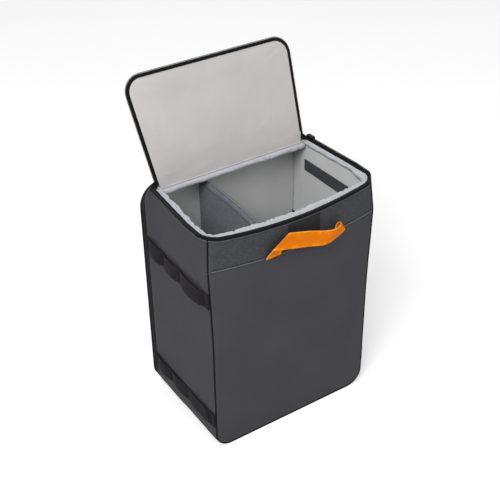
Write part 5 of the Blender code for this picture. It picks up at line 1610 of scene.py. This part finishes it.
@dataclass
class Carry(Assembly):
    """The front handle and the blank label under it."""

    left_x: float = -0.047
    right_x: float = 0.085
    width: float = 25 * MM
    thickness: float = 1.5 * MM
    selvedge: float = 0.80 * MM
    axis_gap: float = 1.6 * MM
    foot_angle: float = math.radians(80.0)
    run_angle: float = math.radians(-15.6)
    left_rise: float = 29.0 * MM
    left_bend: float = 1.4 * MM
    right_fold: tuple[float, float] = (0.1183, 0.0100)
    right_angle: float = math.radians(-45.5)
    right_bend: float = 6.0 * MM
    right_taper: float = 0.42
    lift_start: float = 0.046
    lift_end: float = 0.120
    lift: float = 10.5 * MM
    low_lift: float = 8.5 * MM
    lean: float = 11 * MM
    stand: float = 13.6 * MM
    tilt: float = 5 * MM
    search: tuple[float, float] = (0.12, 0.26)
    label_x: tuple[float, float] = (-0.021, 0.038)
    label_z: tuple[float, float] = (0.3705, 0.4075)
    label_seam: float = 2.6 * MM

    @staticmethod
    def widened(along: np.ndarray, taper: float) -> np.ndarray:
        """A cone's radius as a share of the bend, at a distance along the fold's line."""
        return 1 - taper * np.clip(along / (12.5 * MM), -1.6, 1.6)

    @staticmethod
    def folded(place: np.ndarray, middle: np.ndarray, angle: float, bend: float,
               taper: float = 0.0) -> tuple[np.ndarray, np.ndarray]:
        """Fold flat cloth over a line: places beyond it go round a cylinder or a cone and come back.

        With d the distance beyond the line and r the bend, a place moves to r sin(d / r) beyond the line and
        r (1 - cos(d / r)) out of the plane, until d is pi r, and lies flat again after that.

        Args:
            place: along and up of each point.
            middle: a point on the line.
            angle: the line's direction.
            bend: radius of the cylinder.
            taper: how much wider the fold gets towards the line's start, as a share of the bend per 12.5 mm.

        Returns:
            The new places and how far each lies behind the plane.
        """
        line = np.array((math.cos(angle), math.sin(angle)))
        beyond = np.array((-line[1], line[0]))
        along, far = (place - middle) @ line, (place - middle) @ beyond
        radius = bend * Carry.widened(along, taper)
        turn = np.clip(far / radius, 0, math.pi)
        kept = np.where(far < 0, far, radius * np.sin(turn) - np.clip(far - math.pi * radius, 0, None))
        moved = middle + along[..., None] * line + kept[..., None] * beyond
        return moved, radius * (1 - np.cos(turn))

    def sheet(self, run: np.ndarray, across: np.ndarray) -> np.ndarray:
        """The handle's middle surface: up from its left foot, folded over, level, back to its right foot.

        Args:
            run: distance along the webbing.
            across: distance from its middle.

        Returns:
            Along the seam, up from it, out from it and behind the front layer, at each place.
        """
        foot = self.foot_angle
        sewn = ease(1 - run / 0.012)
        flat = np.stack([run * math.cos(foot) + across * (sewn + (1 - sewn) * math.sin(foot)),
                         run * math.sin(foot) - across * (1 - sewn) * math.cos(foot)], axis=-1)
        left = np.array((math.cos(foot), math.sin(foot))) * self.left_rise
        place, over = self.folded(flat, left, (foot + self.run_angle) / 2, self.left_bend)
        over = over / (2 * self.left_bend)
        turned = np.array((-math.sin(self.run_angle), math.cos(self.run_angle)))
        low = np.clip(-((place - left) @ turned) / self.width, 0, 1)
        start = self.lift_start + 0.028 * (1 - low)
        length = self.lift_end - start
        rising = np.clip(place[..., 0] - start, 0, None)
        lift = self.lift + self.low_lift * low
        curve = lift * (np.minimum(rising, length) / length) ** 2
        slope = 2 * lift / length * np.clip(rising - length, 0, None)
        place[..., 1] += (curve + slope) * (over > 0.5)
        share = ease(run / (0.020 + 0.020 * (across / self.width + 0.5)))
        out = (1 - over) * self.lean * share + over * self.stand
        out = out + over * self.tilt * (low - 0.4) * (1 - ease((place[..., 0] - 0.010) / 0.075))
        line = np.array((math.cos(self.right_angle), math.sin(self.right_angle)))
        along = (place - np.array(self.right_fold)) @ line
        need = 2 * self.right_bend * self.widened(along, self.right_taper) + 1.2 * MM - self.stand
        out = out + need * ease((place[..., 0] - 0.052) / 0.055) * over
        place, back = self.folded(place, np.array(self.right_fold), self.right_angle, self.right_bend,
                                  self.right_taper)
        return np.concatenate([place, (out - back)[..., None], back[..., None]], axis=-1)

    def standing(self, fine: int = 320) -> np.ndarray:
        """The middle surface in place, each thread of it cut off where it reaches the seam."""
        start, end = self.bag.settle(np.array([(self.left_x, -self.bag.half_depth, self.bag.band_seam),
                                               (self.right_x, -self.bag.half_depth, self.bag.band_seam)]))
        across = self.width * np.linspace(-0.5, 0.5, 30)[None]
        run = np.linspace(*self.search, 1200)[:, None]
        ahead = self.sheet(run + 0 * across, across + 0 * run)
        fallen = (ahead[..., 1] < 0.3 * MM) & (ahead[..., 3] > 2 * MM)
        stop = run[np.argmax(fallen, axis=0), 0]
        run = np.linspace(0, 1, fine)[:, None] * stop[None]
        place = self.sheet(run, across + 0 * run)
        along = (end - start) / np.linalg.norm(end - start)
        whole = start - np.array((0, self.axis_gap, 0)) + along * place[..., :1]
        return whole + np.array((0, 0, 1.0)) * place[..., 1:2] + np.array((0, -1.0, 0)) * place[..., 2:3]

    def handle(self) -> None:
        """The handle's webbing with firm edges, whose edge cords are dressed lighter as a painted highlight.
        """
        middle = self.standing()
        normal = np.cross(np.gradient(middle, axis=0), np.gradient(middle, axis=1))
        normal /= np.linalg.norm(normal, axis=-1, keepdims=True)
        side = np.abs(np.linspace(-1, 1, middle.shape[1]))[None, :, None]
        thick = self.thickness / 2 * (1 + 0.30 * hump(side - 0.90, 0.08))
        wave = ripples(middle, (0.22, 34, 127))[..., None]
        grids = [middle + normal * (sign * thick + wave) for sign in (1, -1)]
        self.sew("front_handle_strap", closed_skin(*grids), self.looks.handle, ("front_handle",), 0.1,
                 body="handle")
        borders = middle + wave * normal
        # The edge cords take the lighter selvedge colour, a painted highlight along both edges.
        cords = [cord_skin(borders[::3, edge], self.selvedge) for edge in (0, -1)]
        self.sew("front_handle_selvedge", as_one(cords), self.looks.selvedge, body="handle")

    def label(self) -> None:
        """A blank sewn patch with softened edges and a row of stitches inside its border."""
        x = np.linspace(*self.label_x, 70)[None]
        z = np.linspace(*self.label_z, 46)[:, None]
        flat = placed(x, -self.bag.half_depth, z)
        edge = edge_distance(flat)
        lift = 0.9 * MM - 0.35 * MM * hump(edge, 1.6 * MM)
        lift = lift - 0.22 * MM * hump(edge - self.label_seam, 0.8 * MM)
        outer = flat - np.array((0, 1, 0)) * lift[..., None]
        inner = flat - np.array((0, 1, 0)) * (0.3 * MM)
        self.sew("label_blank", self.settled(outer, inner), self.looks.label, ("label_patch",), 0.1)
        left, right = self.label_x[0] + self.label_seam, self.label_x[1] - self.label_seam
        low, high = self.label_z[0] + self.label_seam, self.label_z[1] - self.label_seam
        corners = np.array(((left, low), (right, low), (right, high), (left, high), (left, low)))
        path = placed(corners[:, 0], -self.bag.half_depth - 0.85 * MM, corners[:, 1])
        line = self.bag.settle(evenly(path, 1 * MM))
        sewn = stitch_skin(line, np.array((0, -1.0, 0)), 1.8 * MM, 0.9 * MM, 0.4 * MM)
        self.sew("label_stitches", sewn, self.looks.thread)

    def build(self) -> None:
        """Make the handle and the label."""
        self.handle()
        self.label()


@dataclass
class Dividers(Assembly):
    """The padded dividers, their flaps and the fastening strip."""

    middle_x: float = -0.046
    half: float = 5.0 * MM
    front_y: float = -0.0949
    rear_y: float = 0.0940
    low: float = 0.0101
    top: float = 0.392
    flap: float = 2.0 * MM
    flange: float = 15 * MM
    shelf_front_y: float = -0.0921
    shelf_thickness: float = 8 * MM
    wall_x: float = 0.1399
    shelf_room: float = 0.3 * MM
    left_shelves: tuple[float, float] = (0.192, 0.098)
    right_shelves: tuple[float, float] = (0.232, 0.122)
    strip_y: tuple[float, float] = (0.059, -0.061)
    strip_low: float = 0.357
    strip_width: float = 20 * MM

    def pad(self, name: str, low: tuple[float, float, float], high: tuple[float, float, float],
            swelling: Inflation) -> bpy.types.Object:
        """A padded board between two corners, blown up as cloth and settled with the bag.

        Args:
            name: the piece's name.
            low: its lowest corner.
            high: its highest corner.
            swelling: the simulation's sizes.

        Returns:
            The piece, not yet dressed.
        """
        a, b = np.array(low), np.array(high)
        unit = np.array([(i, j, k) for i in (0, 1) for j in (0, 1) for k in (0, 1)], dtype=float)
        faces = [[0, 1, 3, 2], [4, 6, 7, 5], [0, 4, 5, 1], [2, 3, 7, 6], [0, 2, 6, 4], [1, 5, 7, 3]]
        box = Skin(a + (b - a) * unit, faces, np.zeros((24, 2)), np.zeros(8))
        piece = mesh_of(name, box)
        swelling.apply(piece)
        put_points(piece, self.bag.settle(points_of(piece)))
        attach(piece, self.body)
        return piece

    def long(self) -> None:
        """The front-to-back divider with its flange on the front wall and a sewn line along its top."""
        inset = 0.7 * MM
        low = (self.middle_x - self.half + inset, self.front_y + inset, self.low + inset)
        high = (self.middle_x + self.half - inset, self.rear_y - inset, self.top - inset)
        piece = self.pad("long_divider_pad", low, high, Inflation(4 * MM, 3.0, 1.1 * MM))
        self.wardrobe.dress(piece, self.looks.divider, ("long_divider",), 0.6)
        z = np.linspace(self.low, self.top, 90)[:, None]
        x = self.middle_x + (self.half + self.flange) * np.linspace(-1, 1, 40)[None]
        past = np.abs(x - self.middle_x) - self.half - self.flange
        edge = self.front_y + self.flap - 0.9 * MM * hump(past, 2 * MM)
        outer = placed(x, edge, z)
        inner = placed(x, self.front_y, z)
        self.sew("long_divider_flange", self.settled(outer, inner), self.looks.divider, (), 0.3)
        y = np.linspace(self.front_y + 3 * MM, self.rear_y - 3 * MM, 60)
        rows = []
        for offset in (-2.6 * MM, 2.6 * MM):
            line = self.bag.settle(placed(self.middle_x + offset, y, self.top + 0.1 * MM))
            rows.append(stitch_skin(line, np.array((0, 0, 1.0)), 2.6 * MM, 1.0 * MM, 0.5 * MM))
        beside = self.bag.settle(placed(self.middle_x - self.half - 8 * MM, y, self.top - 7 * MM))
        met = np.array([piece.closest_point_on_mesh(point.tolist())[1] for point in beside])
        on_face = met + np.array((-0.1 * MM, 0, 0))
        rows.append(stitch_skin(on_face, np.array((-1.0, 0, 0)), 4.0 * MM, 1.4 * MM, 1.1 * MM))
        self.sew("long_divider_stitches", as_one(rows), self.looks.thread)

    def shelf(self, name: str, start: float, end: float, height: float) -> None:
        """A shelf with an upturned flap at both ends.

        Args:
            name: the CAD node that it stands for.
            start: its left end.
            end: its right end.
            height: its underside.
        """
        inset = 0.6 * MM
        low = (start + inset, self.shelf_front_y + inset, height + inset)
        high = (end - inset, self.rear_y - inset, height + self.shelf_thickness - inset)
        piece = self.pad(f"{name}_pad", low, high, Inflation(4 * MM, 3.0, 1.0 * MM))
        self.wardrobe.dress(piece, self.looks.divider, (name,), 0.6)
        top = height + self.shelf_thickness
        y = np.linspace(self.shelf_front_y, self.rear_y, 60)[None]
        z = np.linspace(top - 1 * MM, top + 20 * MM, 14)[:, None]
        skins = []
        for wall, inward in ((start, 1), (end, -1)):
            flat = placed(wall, y, z)
            thick = self.flap - 0.8 * MM * hump(edge_distance(flat), 1.5 * MM)
            far = flat + np.array((inward, 0, 0)) * thick[..., None]
            skins.append(self.settled(far, flat))
        self.sew(f"{name}_flaps", as_one(skins), self.looks.loop, (), 0.2)

    def strip(self) -> None:
        """The fastening strip on the right inner wall, napped and sewn at its edges."""
        start, end = self.strip_y
        y = np.linspace(start, end, 80)[None]
        forward = (start - y) / (start - end)
        width = self.strip_width + 2.5 * MM * forward
        z = self.strip_low - 6.5 * MM * forward + width * np.linspace(0, 1, 18)[:, None]
        flat = placed(self.bag.half_width - 9.6 * MM, y, z)
        thick = 2.0 * MM - 0.9 * MM * hump(edge_distance(flat), 1.4 * MM)
        far = flat - np.array((1, 0, 0)) * thick[..., None]
        self.sew("right_wall_loop_strip", self.settled(far, flat), self.looks.loop, ("right_wall_strip",),
                 0.2)

    def build(self) -> None:
        """Make the dividers."""
        self.long()
        left = (-self.wall_x, self.middle_x - self.half - self.shelf_room)
        right = (self.middle_x + self.half + self.shelf_room, self.wall_x)
        for word, ends, heights in (("left", left, self.left_shelves), ("right", right, self.right_shelves)):
            for level, height in zip(("upper", "lower"), heights):
                self.shelf(f"{word}_shelf_{level}", *ends, height)
        self.strip()


@dataclass
class Zips(Assembly):
    """Sliders, which keep their CAD form with softened edges, and their pulls."""

    nodes: dict[str, bpy.types.Object] = field(default_factory=dict)

    def slider(self, node: str) -> None:
        """A carried-over slider in black enamel, with its edges rounded."""
        piece = self.nodes[node]
        piece.data.materials.clear()
        piece.data.materials.append(self.wardrobe.material(self.looks.metal))
        bevel = piece.modifiers.new("softened", "BEVEL")
        bevel.width = 0.45 * MM
        bevel.segments = 3
        bevel.limit_method = "ANGLE"
        LOG.info("%s: carried over from the CAD", node)

    def pull(self, node: str, body: str, along: int, flat_axis: int) -> None:
        """A pull: a rounded tab, narrow at its eye, within the box of its CAD node.

        Args:
            node: the CAD node that it stands for.
            body: the body that it rides on.
            along: the axis of its length.
            flat_axis: the axis of its thickness.
        """
        low, high = (np.array(corner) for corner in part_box(node))
        side = 3 - along - flat_axis
        middle, size = (low + high) / 2, high - low
        rows, columns = 46, 15
        share = np.linspace(-1, 1, rows)[:, None]
        across = np.linspace(-1, 1, columns)[None]
        ends = np.sqrt(np.clip(1 - np.clip(np.abs(share) * 1.18 - 0.18, 0, 1) ** 6, 0.02, 1))
        width = size[side] / 2 * ends * (0.78 + 0.22 * ease((1 - share) / 1.2))
        crown = 0.55 + 0.45 * np.sqrt(np.clip(1 - across ** 2, 0, 1))
        thick = size[flat_axis] / 2 * crown * np.ones_like(share)
        grids = []
        for face in (1, -1):
            grid = np.zeros((rows, columns, 3))
            grid[..., along] = middle[along] + size[along] / 2 * share
            grid[..., side] = middle[side] + width * across
            grid[..., flat_axis] = middle[flat_axis] + face * thick
            grids.append(grid)
        self.sew(f"{node}_tab", closed_skin(*grids), self.looks.strap, (node,), 0.1, body=body)

    def build(self) -> None:
        """Make the sliders and pulls."""
        for node in ("lid_zip_slider", "door_zip_slider_left", "door_zip_slider_right"):
            self.slider(node)
        self.pull("lid_zip_pull", "lid_pull", 2, 0)
        self.pull("door_zip_pull_left", "door_pull_left", 1, 2)
        self.pull("door_zip_pull_right", "door_pull_right", 1, 2)


@dataclass
class Studio:
    """Pale floor, soft light and the camera."""

    place: tuple[float, float, float] = (-0.7331, -1.1061, 1.1867)
    right: tuple[float, float, float] = (0.8334, -0.5525, -0.0111)
    up: tuple[float, float, float] = (0.3195, 0.4653, 0.8255)
    look: tuple[float, float, float] = (0.4509, 0.6915, -0.5643)
    lens: float = 71.38
    world_level: float = 0.55
    floor_lift: float = 0.325

    def camera(self) -> None:
        """The camera at the photograph's viewing angle."""
        data = bpy.data.cameras.new("camera")
        data.lens = self.lens
        data.sensor_width = 36
        data.clip_end = 50
        camera = bpy.data.objects.new("camera", data)
        bpy.context.scene.collection.objects.link(camera)
        turn = Matrix((self.right, self.up, [-part for part in self.look])).transposed()
        camera.matrix_world = Matrix.Translation(Vector(self.place)) @ turn.to_4x4()
        bpy.context.scene.camera = camera

    def lamp(self, name: str, place: tuple[float, float, float], size: float, power: float) -> None:
        """A square soft lamp that looks at the middle of the bag."""
        data = bpy.data.lights.new(name, "AREA")
        data.size = size
        data.energy = power
        lamp = bpy.data.objects.new(name, data)
        bpy.context.scene.collection.objects.link(lamp)
        lamp.location = place
        lamp.rotation_euler = (Vector((0, 0, 0.25)) - Vector(place)).to_track_quat("-Z", "Y").to_euler()

    def unlit_share(self, desk: NodeDesk) -> bpy.types.NodeSocket:
        """1 for rays from the camera, from gloss and through glass, else 0."""
        path = desk.add("ShaderNodeLightPath")
        seen = desk.sum("ADD", path.outputs["Is Camera Ray"], path.outputs["Is Glossy Ray"])
        return desk.sum("MINIMUM", desk.sum("ADD", seen, path.outputs["Is Transmission Ray"]), 1.0)

    def floor(self) -> None:
        """A wide pale floor that shows white but keeps the shadow."""
        mesh = bpy.data.meshes.new("floor")
        reach = 12.0
        mesh.from_pydata([(-reach, -reach, 0), (reach, -reach, 0), (reach, reach, 0), (-reach, reach, 0)], [],
                         [(0, 1, 2, 3)])
        floor = bpy.data.objects.new("floor", mesh)
        bpy.context.scene.collection.objects.link(floor)
        material = bpy.data.materials.new("pale_floor")
        desk = NodeDesk(material)
        place = desk.add("ShaderNodeTexCoord").outputs["Object"]
        tone = desk.blend(desk.mottle(place, 0.5), (0.80, 0.80, 0.80, 1), (0.82, 0.82, 0.82, 1))
        desk.feed(desk.shader.inputs["Base Color"], tone)
        desk.shader.inputs["Roughness"].default_value = 0.95
        desk.shader.inputs["Specular IOR Level"].default_value = 0.1
        desk.shader.inputs["Emission Color"].default_value = (1, 1, 1, 1)
        desk.feed(desk.shader.inputs["Emission Strength"],
                  desk.sum("MULTIPLY", self.unlit_share(desk), self.floor_lift))
        mesh.materials.append(material)

    def world(self) -> None:
        """A white world: full white to the camera and soft light for everything else."""
        world = bpy.data.worlds.new("studio")
        bpy.context.scene.world = world
        desk = NodeDesk(world)
        ground = world.node_tree.nodes["Background"]
        share = self.unlit_share(desk)
        lift = desk.sum("MULTIPLY", share, 1.0 - self.world_level)
        desk.feed(ground.inputs["Strength"], desk.sum("ADD", lift, self.world_level))
        ground.inputs["Color"].default_value = (1, 1, 1, 1)

    def build(self) -> None:
        """Set up camera, floor, lamps and world."""
        self.camera()
        self.floor()
        self.world()
        self.lamp("key", (-1.6, -1.1, 2.4), 1.3, 62)
        self.lamp("fill", (1.2, -2.2, 1.6), 1.8, 14)
        bpy.context.scene.view_settings.view_transform = "Standard"


def main() -> None:
    """Load the frame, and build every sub-assembly around it."""
    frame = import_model()
    Studio().build()
    bag, wardrobe = Standing(), Wardrobe()
    Walls(bag, wardrobe).build()
    Rim(bag, wardrobe).build()
    Lid(bag, wardrobe).build()
    RearDoor(bag, wardrobe).build()
    Webbing(bag, wardrobe).build()
    Carry(bag, wardrobe).build()
    Dividers(bag, wardrobe).build()
    Zips(bag, wardrobe, nodes=frame["nodes"]).build()


if __name__ == "__main__":
    logging.basicConfig(level=logging.INFO, format="%(message)s")
    main()
